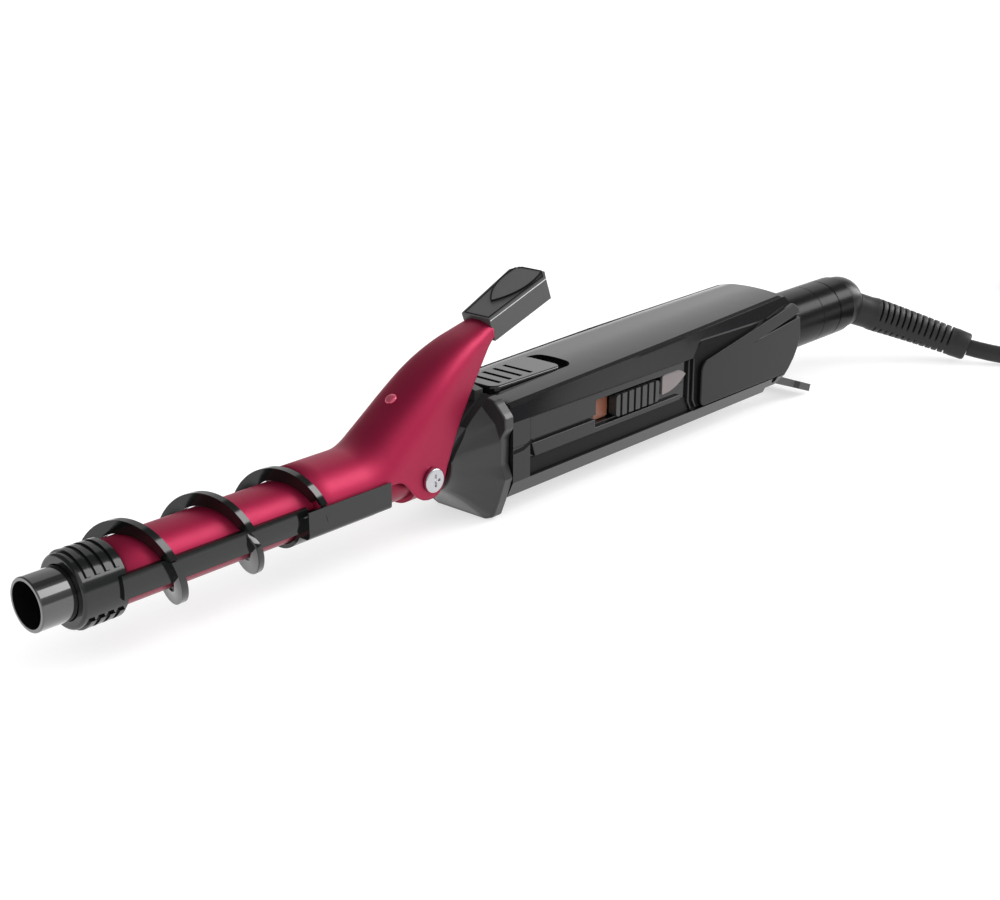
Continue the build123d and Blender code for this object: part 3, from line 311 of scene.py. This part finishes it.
def bridge_rings(form, rings):
    """Skin between closed rings of bmesh vertices, with a cap at each end."""
    for ring, following in zip(rings, rings[1:]):
        count = len(ring)
        for i in range(count):
            j = (i + 1) % count
            form.faces.new((ring[i], ring[j], following[j], following[i]))
    form.faces.new(list(reversed(rings[0])))
    form.faces.new(rings[-1])


def arc_through(start, middle, end):
    """Circle through three points: a function from fraction to point and direction, and length."""
    chord = end - start
    to_mid = middle - start
    cross = chord.cross(to_mid)
    offset = (cross.cross(chord) * to_mid.length_squared
              + to_mid.cross(cross) * chord.length_squared)
    centre = start + offset / (2 * cross.length_squared)
    first = start - centre
    last = end - centre
    sweep = first.angle(last)
    normal = cross.normalized()
    side = 1 if normal.dot(first.cross(last)) > 0 else -1
    turn_axis = normal * side

    def at(fraction):
        spoke = Matrix.Rotation(sweep * fraction, 3, turn_axis) @ first
        return centre + spoke, turn_axis.cross(spoke).normalized()

    return at, sweep * first.length


def prism(outline, inner, outer):
    """Closed form of an (x, z) outline between two distances from the middle plane."""
    form = bmesh.new()
    rings = [[form.verts.new(placed(x, y, z)) for x, z in outline] for y in (inner, outer)]
    bridge_rings(form, rings)
    return form


def round_edges(piece, width):
    """Round a piece's hard edges by a width in mm."""
    edge = piece.modifiers.new("edge", "BEVEL")
    edge.width = width / 1000
    edge.segments = 2
    edge.limit_method = "ANGLE"
    edge.harden_normals = True
    bake_modifiers(piece)


def plate(name, outline, inner, outer, material, rounding=0.3, replaced=()):
    """Flat plate on a side of the handle, its edges rounded by a width in mm."""
    form = prism(outline, inner, outer)
    piece = new_piece(name, form, "handle", material, smooth_angle=30, replaced=replaced)
    if rounding:
        round_edges(piece, rounding)


def rounded_corner(centre, radius, start, end):
    """Points of a rounded corner, angles in degrees."""
    steps = 5
    angles = [math.radians(start + (end - start) * i / steps) for i in range(steps + 1)]
    return [(centre[0] + radius * math.cos(a), centre[1] + radius * math.sin(a)) for a in angles]


# ---------------------------------------------------------------- handle trim
CHANNEL_FLOOR = 15.42                # distance of the side channel's floor from the middle
HANDLE_SIDE = 16.9                   # distance of the handle's side from the middle
EMBED = 0.2                          # depth of a plate's back behind the channel's floor
BAND_FRONT = 34.0
BAND_REAR = 113.2
BAND_END = BAND_REAR - 5
# front of the plate of painted shade round the tail cover
SHADE_PLATE_FRONT = 114.3
COVER_FRONT = 119.2
# lower and upper edges of the bands and of the shadow channel below them
UPPER_BAND = (3.05, 10.0)
LOWER_BAND = (-2.6, 1.7)
CHANNEL_BAND = (-7.9, -2.9)
# gap that the near side's bands leave round the power slider
SLIDER_FRONT = 64.3
SLIDER_REAR = 108.8
SLIDER_GAP = (-0.9, 7.7)
FOLD_RIBS = (112.4, 115.1)
SEAM = [(26.6, 0.6), (31.0, 0.8), (34.4, 2.1), (34.4, 3.2), (30.6, 1.9), (26.6, 1.7)]
TAIL_END = [(171.6, -8.0), (173.5, -6.5), (176.4, -3.4), (178.8, 0.4), (179.9, 5.0), (179.4, 10.0)]
# a thin notch that runs forward from the cover's end as its crease, then the upper corner
COVER_CREASE = [(179.0, 11.2), (158.0, 8.9), (178.5, 12.6), (177.3, 14.9), (174.5, 16.6)]
# edge between the handle's top and its side as (x, half width, height), and the section of the painted
# shade strip along it
TOP_EDGE = [(26.8, 15.4, 14.6), (60, 15.27, 15.65), (100, 15.1, 16.9), (140, 14.08, 17.95),
            (171.5, 13.2, 18.75)]
EDGE_SHADE_SECTION = [(-1.5, -0.1), (-1.4, 0.52), (0.05, 0.15), (0.26, -0.5), (-0.1, -0.7)]


def band_outlines(side):
    """Outlines of a side's upper and lower bands; the near side's leave room for the slider."""
    low, high = UPPER_BAND
    foot, top = LOWER_BAND
    if side > 0:
        upper = [(BAND_FRONT, low), (BAND_END, low), (BAND_END, high), (BAND_FRONT, high)]
        lower = [(BAND_FRONT + 2.5, foot), (BAND_END, foot), (BAND_END, top),
                 (BAND_FRONT + 1, top)]
        return upper, lower
    below, above = SLIDER_GAP
    upper = [(BAND_FRONT, low), (SLIDER_FRONT, low), (SLIDER_FRONT, above), (SLIDER_REAR, above),
             (SLIDER_REAR, high), (BAND_FRONT, high)]
    lower = [(BAND_FRONT + 2.5, foot), (BAND_END, foot), (BAND_END, below), (SLIDER_FRONT, below),
             (SLIDER_FRONT, top), (BAND_FRONT + 1, top)]
    return upper, lower


def build_side(side, label):
    """Bands, shadow channel, fold ribs and tail cover of one side of the handle."""
    inner = side * (CHANNEL_FLOOR - EMBED)
    upper, lower = band_outlines(side)
    plate("band_upper_" + label, upper, inner, side * (HANDLE_SIDE - 0.15), GLOSS)
    plate("band_lower_" + label, lower, inner, side * (HANDLE_SIDE - 0.35), GLOSS)
    foot, top = CHANNEL_BAND
    channel = [(BAND_FRONT, foot), (BAND_REAR, foot), (BAND_REAR, top), (BAND_FRONT, top)]
    plate("band_channel_" + label, channel, inner, side * (CHANNEL_FLOOR + 0.25),
          CHANNEL, rounding=0)
    for number, x in enumerate(FOLD_RIBS, start=1):
        rib = [(x + 2.0, -7.6), (x + 2.4, -7.2), (x + 0.9, -4.5), (x + 0.6, 9.6), (x, 9.6),
               (x, -4.4)]
        plate(f"fold_rib_{number}_{label}", rib, inner, side * (HANDLE_SIDE - 0.5),
              SATIN)
    # painted shade: a dark plate in the recess round the tail cover, where shade falls
    seat = [(SHADE_PLATE_FRONT, -7.8)] + [(x - 0.3, z) for x, z in TAIL_END]
    seat += [(178.3, 12.8), (120.0, 14.0), (SHADE_PLATE_FRONT, 9.6)]
    plate("cover_shade_" + label, seat, inner, side * (CHANNEL_FLOOR + 0.2),
          SHADOW, rounding=0)
    plate("seam_front_" + label, SEAM, inner, side * (HANDLE_SIDE + 0.05),
          SHADOW, rounding=0)
    cover = rounded_corner((COVER_FRONT + 2.2, -5.6), 2.2, 180, 270) + TAIL_END + COVER_CREASE
    cover += rounded_corner((COVER_FRONT + 3.6, 4.2), 3.6, 105, 180)
    plate("tail_cover_" + label + "_shell", cover, inner, side * (HANDLE_SIDE + 0.1),
          COVER_GLOSS, rounding=0.45, replaced=("tail_cover_" + label,))


def build_edge_shade(side, label):
    """Painted shade: a dark strip along the edge between the handle's crowned top and its bevelled
    side.
    """
    form = bmesh.new()
    rings = [[form.verts.new(placed(x, side * (half + out), top + up)) for out, up in EDGE_SHADE_SECTION]
             for x, half, top in TOP_EDGE]
    bridge_rings(form, rings)
    new_piece("edge_shade_" + label, form, "handle", SHADOW, smooth_angle=30)


for side, label in ((-1, "near"), (1, "far")):
    build_side(side, label)
    build_edge_shade(side, label)


# ---------------------------------------------------------------- strain relief
RELIEF_BEND = Vector((0.0029, 0.0027, -0.0002))    # how far its middle lies off the straight line
RELIEF_R = 0.0064                    # radius at the first slot
RELIEF_TAPER = 0.0010                # loss of radius over the slotted stretch
SLOT_COUNT = 13
SLOT_FIRST = 0.0170                  # distance of the first slot along the relief
SLOT_PITCH = 0.00245
SLOT_WIDTH = 0.00095
SLOT_DEPTH = 0.0020
SLOTTED_LENGTH = 0.0319
# plain neck at the ball: distance along the relief and radius
NECK = [(0.0080, 0.0062), (0.0120, 0.00615), (0.0140, 0.0061), (0.0152, 0.0063), (0.0160, 0.0064)]


def relief_stations(length):
    """Sections of the strain relief: distance along it, radius, and whether they are slotted."""
    stations = [(distance, radius, False) for distance, radius in NECK]
    for i in range(SLOT_COUNT):
        slot = SLOT_FIRST + SLOT_PITCH * i
        outer = RELIEF_R - RELIEF_TAPER * i / SLOT_COUNT
        stations += [(slot, outer, False),
                     (slot + 0.00012, outer - 0.0001, True),
                     (slot + 0.0002, outer - SLOT_DEPTH, True),
                     (slot + SLOT_WIDTH - 0.0002, outer - SLOT_DEPTH, True),
                     (slot + SLOT_WIDTH - 0.00012, outer - 0.0001, True),
                     (slot + SLOT_WIDTH, outer, False)]
    cuff = SLOT_FIRST + SLOT_PITCH * SLOT_COUNT
    stations += [(cuff, 0.0054, False), (cuff + 0.0006, 0.0055, False),
                 (length - 0.0010, 0.0053, False), (length - 0.0003, 0.0050, False),
                 (length, 0.0044, False), (length, 0.0036, False)]
    return stations


def build_relief():
    """Moulded rubber sleeve: plain neck, cross slots above and below with a plain strip between."""
    at, length = arc_through(BALL, (BALL + RELIEF_END) / 2 + RELIEF_BEND, RELIEF_END)
    segments = 72
    form = bmesh.new()
    rings = []
    for distance, radius, slotted in relief_stations(length):
        centre, along = at(min(distance / length, 1.0))
        across = along.cross(Vector((0, 0, 1))).normalized()
        up = across.cross(along).normalized()
        full = RELIEF_R - RELIEF_TAPER * limited((distance - SLOT_FIRST) / SLOTTED_LENGTH)
        ring = []
        for i in range(segments):
            angle = 2 * math.pi * i / segments
            height = math.sin(angle)
            reach = radius
            if slotted:
                # slots reach over the upper side and a short way across the lower side
                cut = max(limited((height + 0.12) / 0.16), limited((-height - 0.62) / 0.12))
                reach = full + (radius - full) * cut
            ring.append(form.verts.new(centre + (across * math.cos(angle) + up * height) * reach))
        rings.append(ring)
    bridge_rings(form, rings)
    new_piece("relief_sleeve", form, "cord_end", RUBBER, smooth_angle=40,
              replaced=("strain_relief",))


build_relief()


# ---------------------------------------------------------------- clamp and lever
# round blade ahead of the lever as rows of (x, radius), with the step up to its wide part
BLADE = [(-97.6, 8.75), (-90, 8.75), (-75, 8.75), (-60, 8.75), (-43, 8.75), (-41.6, 8.75),
         (-41.2, 8.9), (-41.0, 11.2), (-40.8, 11.4), (-36, 11.4), (-28, 11.4)]
BLADE_EDGE = 2.0                     # height of the blade's lower edges
# the lever as rows of (x, value)
RIDGE = [(-60, 11.4), (-19.5, 11.4), (-9, 18.2), (0, 24.2), (8, 29.2), (17, 33.2), (31, 36.8),
         (40, 39)]
HALF_WIDTH = [(-60, 11.4), (-19, 11.4), (-10, 11.0), (0, 10.5), (8, 9.8), (17, 8.3), (25, 6.8),
              (31, 5.7), (40, 5.7)]
CROWN = [(-60, 11.4), (-19.5, 11.4), (-9, 12.0), (0, 11.5), (8, 10.5), (17, 8.5), (31, 4.4),
         (40, 4)]
SQUARENESS = [(-60, 2.0), (-19, 2.0), (-4, 2.4), (8, 2.6), (31, 2.8), (40, 2.8)]
LOWER_EDGE = [(-60, 2.0), (-16, 2.0), (-13.0, 1.8), (-10.8, 0.8), (-9.0, -0.9), (-7.4, -2.9),
              (-5.6, -4.9), (-3.6, -6.1), (-1.4, -6.6), (1.4, -6.6), (3.6, -5.6), (5.0, -4.0),
              (5.9, -1.6), (6.5, 0.2), (9.6, 6.0), (13.4, 12.4), (18.2, 18.6), (23.0, 24.3),
              (28.2, 30.2), (31.0, 32.4)]
LEVER_FRONT = -24.0
LEVER_REAR = 30.95
EARS = (-14, 8)                      # stretch with the two ears, where sections are closer
SECTION_POINTS = 65
SHEET = 0.0006                       # thickness
# rivet head: radius and height above the sheet
RIVET = [(1.75, 0.0), (1.75, 0.25), (1.55, 0.55), (1.15, 0.8), (0.6, 0.95), (0.2, 1.0)]


def table(rows, x):
    """Value at x from rows of (x, value), on straight lines between rows."""
    if x <= rows[0][0]:
        return rows[0][1]
    for (x0, v0), (x1, v1) in zip(rows, rows[1:]):
        if x <= x1:
            t = (x - x0) / (x1 - x0)
            return v0 + (v1 - v0) * t
    return rows[-1][1]


def smooth_table(rows, x, reach):
    """Average of the table over a short reach on both sides of x."""
    steps = 8
    total = sum(table(rows, x + reach * (2 * i / steps - 1)) for i in range(steps + 1))
    return total / (steps + 1)


def evenly_spaced(line, count):
    """Points at equal distances along a line of (y, z) points."""
    runs = [0.0]
    for (y0, z0), (y1, z1) in zip(line, line[1:]):
        runs.append(runs[-1] + math.hypot(y1 - y0, z1 - z0))
    points = []
    k = 0
    for i in range(count):
        want = runs[-1] * i / (count - 1)
        while k < len(runs) - 2 and runs[k + 1] < want:
            k += 1
        t = (want - runs[k]) / max(1e-9, runs[k + 1] - runs[k])
        (y0, z0), (y1, z1) = line[k], line[k + 1]
        points.append((y0 + (y1 - y0) * t, z0 + (z1 - z0) * t))
    return points


def arch(top, half, crown, square, low):
    """Section of the bent sheet: straight walls below a rounded crown, evenly spaced points."""
    spring = top - crown
    wall_steps, crown_steps = 12, 96
    start = 0.0
    near_wall, far_wall = [], []
    if low < spring:
        rises = [(spring - low) * i / wall_steps for i in range(wall_steps + 1)]
        near_wall = [(-half, low + rise) for rise in rises[:-1]]
        far_wall = [(half, spring - rise) for rise in rises[1:]]
    else:
        start = math.asin(limited((low - spring) / crown) ** (square / 2))
    rounded = []
    for i in range(crown_steps + 1):
        angle = start + (math.pi - 2 * start) * i / crown_steps
        c, s = math.cos(angle), math.sin(angle)
        rounded.append((-math.copysign(abs(c) ** (2 / square), c) * half,
                        spring + crown * s ** (2 / square)))
    return evenly_spaced(near_wall + rounded + far_wall, SECTION_POINTS)


def build_clamp():
    """Clamp of bent sheet: slim blade, step up to the wide blade, lever hood with two ears."""
    rows = [(x, arch(r, r, r, 2.0, BLADE_EDGE)) for x, r in BLADE]
    x = LEVER_FRONT
    while x < LEVER_REAR:
        rows.append((x, arch(smooth_table(RIDGE, x, 4.0), smooth_table(HALF_WIDTH, x, 3.0),
                             smooth_table(CROWN, x, 4.0), smooth_table(SQUARENESS, x, 3.0),
                             smooth_table(LOWER_EDGE, x, 0.5))))
        x += 0.3 if EARS[0] < x < EARS[1] else 0.6
    form = bmesh.new()
    grid = [[form.verts.new(placed(x, y, z)) for y, z in section] for x, section in rows]
    for line, following in zip(grid, grid[1:]):
        for i in range(SECTION_POINTS - 1):
            form.faces.new((line[i], line[i + 1], following[i + 1], following[i]))
    piece = new_piece("clamp_shell", form, "clamp", CRIMSON, smooth_angle=60,
                      replaced=("clamp_plate",))
    sheet = piece.modifiers.new("sheet", "SOLIDIFY")
    sheet.thickness = SHEET
    sheet.offset = -1.0
    sheet.use_even_offset = True
    bake_modifiers(piece)


def build_rivet():
    """Domed rivet head on the lever's crest."""
    low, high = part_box("lever_rivet")
    x = ((low[0] + high[0]) / 2 - PIVOT) * 1000
    ahead, behind = smooth_table(RIDGE, x + 1, 4.0), smooth_table(RIDGE, x - 1, 4.0)
    along = Vector((2, 0, ahead - behind)).normalized()
    up = Vector((-along.z, 0, along.x))
    seat = placed(x, 0, smooth_table(RIDGE, x, 4.0)) - up * 0.0002
    segments = 24
    form = bmesh.new()
    rings = []
    for radius, height in RIVET:
        ring = []
        for i in range(segments):
            angle = 2 * math.pi * i / segments
            spoke = along * math.cos(angle) + Vector((0, 1, 0)) * math.sin(angle)
            ring.append(form.verts.new(seat + spoke * radius / 1000 + up * height / 1000))
        rings.append(ring)
    bridge_rings(form, rings)
    # the head's lighter pink is a painted highlight
    new_piece("rivet_head", form, "clamp", RIVET_HIGHLIGHT, smooth_angle=40,
              replaced=("lever_rivet",))


build_clamp()
build_rivet()


# ---------------------------------------------------------------- spiral sleeve
FIN_CREST = 27.4 - 119.0             # x of the ribbon's first crest
FIN_PITCH = 23.4
FIN_ROOT = 8.6
FIN_OUT = 12.3
FIN_HALF = 1.0                       # half the ribbon's thickness
FIN_CHAMFER = 0.3
SECOND_ARC = (1.20, 1.80)            # turns from the first crest


def build_ribbon_arc():
    """Second stretch of the ribbon under the barrel, lower towards both of its ends."""
    start, end = SECOND_ARC
    steps = 40
    form = bmesh.new()
    rings = []
    for i in range(steps + 1):
        turn = start + (end - start) * i / steps
        angle = math.pi / 2 + 2 * math.pi * turn
        share = min(1.0, 0.35 + 6 * min(i, steps - i) / steps)
        outer = FIN_ROOT + (FIN_OUT - FIN_ROOT) * share
        x = FIN_CREST + FIN_PITCH * turn
        flat = FIN_HALF - FIN_CHAMFER
        section = [(FIN_ROOT, -FIN_HALF), (outer - FIN_CHAMFER, -FIN_HALF), (outer, -flat),
                   (outer, flat), (outer - FIN_CHAMFER, FIN_HALF), (FIN_ROOT, FIN_HALF)]
        rings.append([form.verts.new(placed(x + shift, r * math.cos(angle), r * math.sin(angle)))
                      for r, shift in section])
    bridge_rings(form, rings)
    new_piece("ribbon_arc", form, "sleeve", FIN, smooth_angle=40)


build_ribbon_arc()


# ---------------------------------------------------------------- thumb rest
REST_ANGLE = math.radians(21)
REST_X = 29.2                        # front of the rest's top
REST_Z = 37.6
REST_LENGTH = 27.0
# lines on the rest, painted shade and a painted highlight: distance back from its front and across
REST_CREASE = [(0.7, -4.5), (REST_LENGTH - 3.3, -6.1), (REST_LENGTH - 0.9, -3.7),
             (REST_LENGTH - 0.9, 3.7), (REST_LENGTH - 3.3, 6.1), (0.7, 4.5)]
# where the painted highlight runs along the rest's near edge
REST_HIGHLIGHT = [(0.2, -5.25), (REST_LENGTH - 3.1, -6.95), (REST_LENGTH, -4.0)]
REST_PAD = [(7.5, 0), (11, 2.9), (REST_LENGTH - 2.4, 4.8)]
PAD_STEPS = 14


def rest_point(along, across, above):
    """Point on the thumb rest's sloping top, in mm from the front of its middle line."""
    x = REST_X + along * math.cos(REST_ANGLE) - above * math.sin(REST_ANGLE)
    z = REST_Z + along * math.sin(REST_ANGLE) + above * math.cos(REST_ANGLE)
    return placed(x, across, z)


def bead(name, path, radius, material, closed=False):
    """Thin round line on the clamp along a path of points, its radius in mm."""
    curve = bpy.data.curves.new(name, "CURVE")
    curve.dimensions = "3D"
    curve.bevel_depth = radius / 1000
    curve.bevel_resolution = 2
    spline = curve.splines.new("POLY")
    spline.points.add(len(path) - 1)
    for point, spot in zip(spline.points, path):
        point.co = (*spot, 1)
    spline.use_cyclic_u = closed
    line = bpy.data.objects.new(name, curve)
    scene.collection.objects.link(line)
    mesh = final_mesh(line)
    bpy.data.objects.remove(line)
    form = bmesh.new()
    form.from_mesh(mesh)
    new_piece(name, form, "clamp", material, smooth_angle=60)


def build_rest_trim():
    """Painted shade in the crease round the thumb rest's top, a painted highlight along its near edge
    and painted shade along the outline of its shield pad.
    """
    # painted shade: a dark bead in the crease round the rest's top
    seam = [rest_point(along, across, 0.0) for along, across in REST_CREASE]
    bead("rest_crease_shade", seam, 0.22, SHADOW, closed=True)
    # painted highlight along the rest's near edge, just below its top
    edge = [rest_point(along, across, -0.8) for along, across in REST_HIGHLIGHT]
    bead("rest_edge_highlight", edge, 0.16, EDGE_HIGHLIGHT)
    # painted shade: a dark bead along the outline of the shield pad
    halves = []
    for side in (-1, 1):
        at, _ = arc_through(*[rest_point(along, side * across, 0.5) for along, across in REST_PAD])
        halves.append([at(i / PAD_STEPS)[0] for i in range(PAD_STEPS + 1)])
    near, far = halves
    bead("rest_pad_shade", list(reversed(near)) + far[1:], 0.26, SHADOW)


build_rest_trim()


# ---------------------------------------------------------------- nose
# half outlines of (distance from the middle, height), from crown to foot
FLARE = [(0, 15.5), (8, 14.5), (13.5, 10), (15.5, 5), (15.4, -2), (16.5, -6), (14, -13.5),
         (12, -18), (9, -19.5), (0, -19.5)]
RIM = [(0, 19.2), (13, 16.6), (17.2, 12.4), (17.4, 9), (15.6, 6), (15.4, -2), (17, -6.2),
       (14.6, -13.5), (12.6, -18.6), (9.5, -19.9), (0, -19.9)]
MOUTH_X = 9.0
FLANGE_FRONT = 22.5
FLANGE_BACK = 26.0
MOUTH_R = 9.6
BARREL_BORE = 8.1
SPIGOT_OUT = 8.5
SPIGOT_IN = 6.6
SPIGOT_LENGTH = 18
OUTLINE_POINTS = 144
FLARE_STEPS = 10
FLARE_EASE = 1.45                    # above 1, the flare widens late
NOSE_CREASE = 24                     # angle in degrees above which an edge is a crease
# rear edges of the lever, and the slots in the nose that they swing through: a stretch of the
# edge by its first and last point, and the slot's distances from the middle
LEVER_BACK = [(6.2, -1.5), (6.5, 0.2), (9.6, 6.0), (13.4, 12.4), (18.2, 18.6), (23.0, 24.3)]
NOSE_SLOTS = [(0, 4, 8.0, 11.3), (3, 6, 5.7, 10.4)]
PIVOT_Z = -1.0                       # height of the clamp's pivot
SWING = math.radians(12.8)           # a little more than the clamp's travel


def full_outline(half):
    """Closed outline from its half, as points at equal angles round the middle."""
    closed = half + [(-y, z) for y, z in reversed(half[1:-1])]
    points = []
    for i in range(OUTLINE_POINTS):
        angle = math.pi / 2 - 2 * math.pi * i / OUTLINE_POINTS
        c, s = math.cos(angle), math.sin(angle)
        best = 0.0
        for (y0, z0), (y1, z1) in zip(closed, closed[1:] + closed[:1]):
            across = (y1 - y0) * s - (z1 - z0) * c
            if abs(across) < 1e-9:
                continue
            part = (z0 * c - y0 * s) / across
            if -1e-6 <= part <= 1 + 1e-6:
                best = max(best, (y0 + (y1 - y0) * part) * c + (z0 + (z1 - z0) * part) * s)
        points.append((c * best, s * best))
    return points


def round_outline(radius):
    """Circle with as many points as the nose's other outlines, in the same order."""
    angles = [2 * math.pi * i / OUTLINE_POINTS for i in range(OUTLINE_POINTS)]
    return [(math.sin(angle) * radius, math.cos(angle) * radius) for angle in angles]


def nose_sections():
    """Sections of the nose as (x, outline): bore, mouth, flare, flange and hollow spigot."""
    flare, rim = full_outline(FLARE), full_outline(RIM)
    mouth = round_outline(MOUTH_R)
    lip = MOUTH_X + 0.3
    sections = [(MOUTH_X + 4, round_outline(BARREL_BORE)), (MOUTH_X, round_outline(BARREL_BORE)),
                (MOUTH_X, round_outline(MOUTH_R - 0.3)), (lip, mouth)]
    for i in range(1, FLARE_STEPS + 1):
        part = i / FLARE_STEPS
        ease = part ** FLARE_EASE
        outline = [(my * (1 - ease) + fy * ease, mz * (1 - ease) + fz * ease)
                   for (my, mz), (fy, fz) in zip(mouth, flare)]
        sections.append((lip + (FLANGE_FRONT - lip) * part, outline))
    spigot_end = FLANGE_BACK + SPIGOT_LENGTH
    sections += [(FLANGE_FRONT + 0.1, [(y * 0.985, z * 0.99) for y, z in rim]),
                 (FLANGE_FRONT + 0.5, rim), (FLANGE_BACK, rim),
                 (FLANGE_BACK, round_outline(SPIGOT_OUT)), (spigot_end, round_outline(SPIGOT_OUT)),
                 (spigot_end, round_outline(SPIGOT_IN)), (FLANGE_BACK + 1, round_outline(SPIGOT_IN))]
    return sections


def cut_with(piece, form):
    """Subtract a closed form from a piece."""
    mesh = bpy.data.meshes.new("cutter")
    form.to_mesh(mesh)
    form.free()
    cutter = bpy.data.objects.new("cutter", mesh)
    scene.collection.objects.link(cutter)
    cut = piece.modifiers.new("slot", "BOOLEAN")
    cut.object = cutter
    cut.solver = "EXACT"
    bake_modifiers(piece)
    bpy.data.objects.remove(cutter)


def build_nose():
    """Plug housing: round mouth flaring in creased facets to the waisted flange, spigot behind."""
    form = bmesh.new()
    rings = [[form.verts.new(placed(x, y, z)) for y, z in outline]
             for x, outline in nose_sections()]
    bridge_rings(form, rings)
    nose = new_piece("nose_shell", form, "tong", NOSE, smooth_angle=NOSE_CREASE,
                     replaced=("nose_base",))
    swung = []
    for x, z in LEVER_BACK:
        dz = z - PIVOT_Z
        swung.append((x * math.cos(SWING) + dz * math.sin(SWING) + 0.3,
                      PIVOT_Z + dz * math.cos(SWING) - x * math.sin(SWING)))
    for first, last, inner, outer in NOSE_SLOTS:
        outline = [(x - 3, z) for x, z in LEVER_BACK[first:last]]
        outline += reversed(swung[first:last])
        for side in (-1, 1):
            slot_form = prism(outline, side * inner, side * outer)
            bmesh.ops.recalc_face_normals(slot_form, faces=slot_form.faces)
            cut_with(nose, slot_form)
    nose.data.set_sharp_from_angle(angle=math.radians(NOSE_CREASE))


build_nose()


# ---------------------------------------------------------------- floor and light
FLOOR_TONE = 0.42
FLOOR_GLOW = 0.65                    # light of the floor's own, which thins the shadows on it
SHADE = 0.16                         # brightness of the studio's dark strips
SOFTBOX = 7.0                        # brightness of the near softbox, the brightest strip
# brightness of the surround by angle over the tool, from its far side (0) to its near side (180):
# beyond the tool's rear end, and beside the tool
REAR_STRIPS = [(0, 0.45), (28, 1.2), (74, 1.2), (80, SHADE), (114, SHADE), (117, SOFTBOX),
               (146, SOFTBOX), (149, 0.17), (180, 0.19)]
SIDE_STRIPS = [(0, 0.30), (40, 0.20), (64, SHADE), (100, SHADE), (116, 0.85), (150, 0.85),
               (162, 0.55), (180, 0.55)]
REAR_FROM = (0.35, 0.6)              # x of the direction over which the rear strips take over
HORIZON = (0.07, 0.04)               # z of the direction over which the white band begins
SUN_ENERGY = 1.9
SUN_WIDTH = 100                      # degrees
SUN_TILT = (8, -6)
# places of the colour sockets on a mix node, which has a set for each kind of value
MIX_FACTOR = 0
MIX_FIRST = 6
MIX_SECOND = 7
MIX_RESULT = 2


def build_stage():
    """Plain pale floor that runs out of view."""
    mesh = bpy.data.meshes.new("floor")
    form = bmesh.new()
    bmesh.ops.create_grid(form, x_segments=1, y_segments=1, size=80)
    form.to_mesh(mesh)
    form.free()
    floor = bpy.data.objects.new("floor", mesh)
    scene.collection.objects.link(floor)
    paint = bpy.data.materials.new("floor_paint")
    paint.use_nodes = True
    shader = paint.node_tree.nodes["Principled BSDF"]
    shader.inputs["Base Color"].default_value = (FLOOR_TONE, FLOOR_TONE, FLOOR_TONE, 1)
    shader.inputs["Roughness"].default_value = 0.8
    shader.inputs["Specular IOR Level"].default_value = 0.1
    shader.inputs["Emission Color"].default_value = (1, 1, 1, 1)
    shader.inputs["Emission Strength"].default_value = FLOOR_GLOW
    set_finish(floor, paint)


def grey(tone):
    """Grey of a brightness, as a share of the softbox's."""
    return (tone / SOFTBOX, tone / SOFTBOX, tone / SOFTBOX, 1)


def map_range(tree, source, start, end):
    """Socket that goes from 0 to 1 as another socket's value goes from start to end."""
    node = tree.nodes.new("ShaderNodeMapRange")
    node.inputs["From Min"].default_value = start
    node.inputs["From Max"].default_value = end
    tree.links.new(source, node.inputs["Value"])
    return node.outputs["Result"]


def strip_ramp(tree, source, strips):
    """Colour ramp of grey tones by angle, from 0 to 180 degrees."""
    ramp = tree.nodes.new("ShaderNodeValToRGB")
    stops = ramp.color_ramp.elements
    stops[0].color = grey(strips[0][1])
    stops[1].color = grey(strips[-1][1])
    for degrees, tone in strips[1:-1]:
        stops.new(degrees / 180).color = grey(tone)
    tree.links.new(source, ramp.inputs["Fac"])
    return ramp.outputs["Color"]


def color_mix(tree, factor, first):
    """Mix node for colours with its factor and its first colour linked."""
    mix = tree.nodes.new("ShaderNodeMix")
    mix.data_type = "RGBA"
    tree.links.new(factor, mix.inputs[MIX_FACTOR])
    tree.links.new(first, mix.inputs[MIX_FIRST])
    return mix


def build_world():
    """Studio surround in long strips beside the tool: pale behind, dark overhead, one near softbox."""
    world = bpy.data.worlds.new("studio")
    world.use_nodes = True
    tree = world.node_tree
    place = tree.nodes.new("ShaderNodeTexCoord")
    split = tree.nodes.new("ShaderNodeSeparateXYZ")
    turn = tree.nodes.new("ShaderNodeMath")
    turn.operation = "ARCTAN2"
    share = tree.nodes.new("ShaderNodeMath")
    share.operation = "DIVIDE"
    share.inputs[1].default_value = math.pi
    tree.links.new(place.outputs["Generated"], split.inputs["Vector"])
    tree.links.new(split.outputs["Z"], turn.inputs[0])
    tree.links.new(split.outputs["Y"], turn.inputs[1])
    tree.links.new(turn.outputs["Value"], share.inputs[0])
    beside = strip_ramp(tree, share.outputs["Value"], SIDE_STRIPS)
    rear = strip_ramp(tree, share.outputs["Value"], REAR_STRIPS)
    strips = color_mix(tree, map_range(tree, split.outputs["X"], *REAR_FROM), beside)
    tree.links.new(rear, strips.inputs[MIX_SECOND])
    # a white band all round hides the floor's far edge
    surround = color_mix(tree, map_range(tree, split.outputs["Z"], *HORIZON),
                         strips.outputs[MIX_RESULT])
    surround.inputs[MIX_SECOND].default_value = grey(1.0)
    tree.links.new(surround.outputs[MIX_RESULT], tree.nodes["Background"].inputs["Color"])
    tree.nodes["Background"].inputs["Strength"].default_value = SOFTBOX
    scene.world = world


def build_sun():
    """Broad light from above that shows in no reflection."""
    light = bpy.data.lights.new("sky", "SUN")
    light.energy = SUN_ENERGY
    light.angle = math.radians(SUN_WIDTH)
    sun = bpy.data.objects.new("sky", light)
    sun.rotation_euler = (math.radians(SUN_TILT[0]), math.radians(SUN_TILT[1]), 0)
    sun.visible_glossy = False
    scene.collection.objects.link(sun)


build_stage()
build_world()
build_sun()
scene.view_settings.view_transform = "Standard"

bpy.context.view_layer.update()
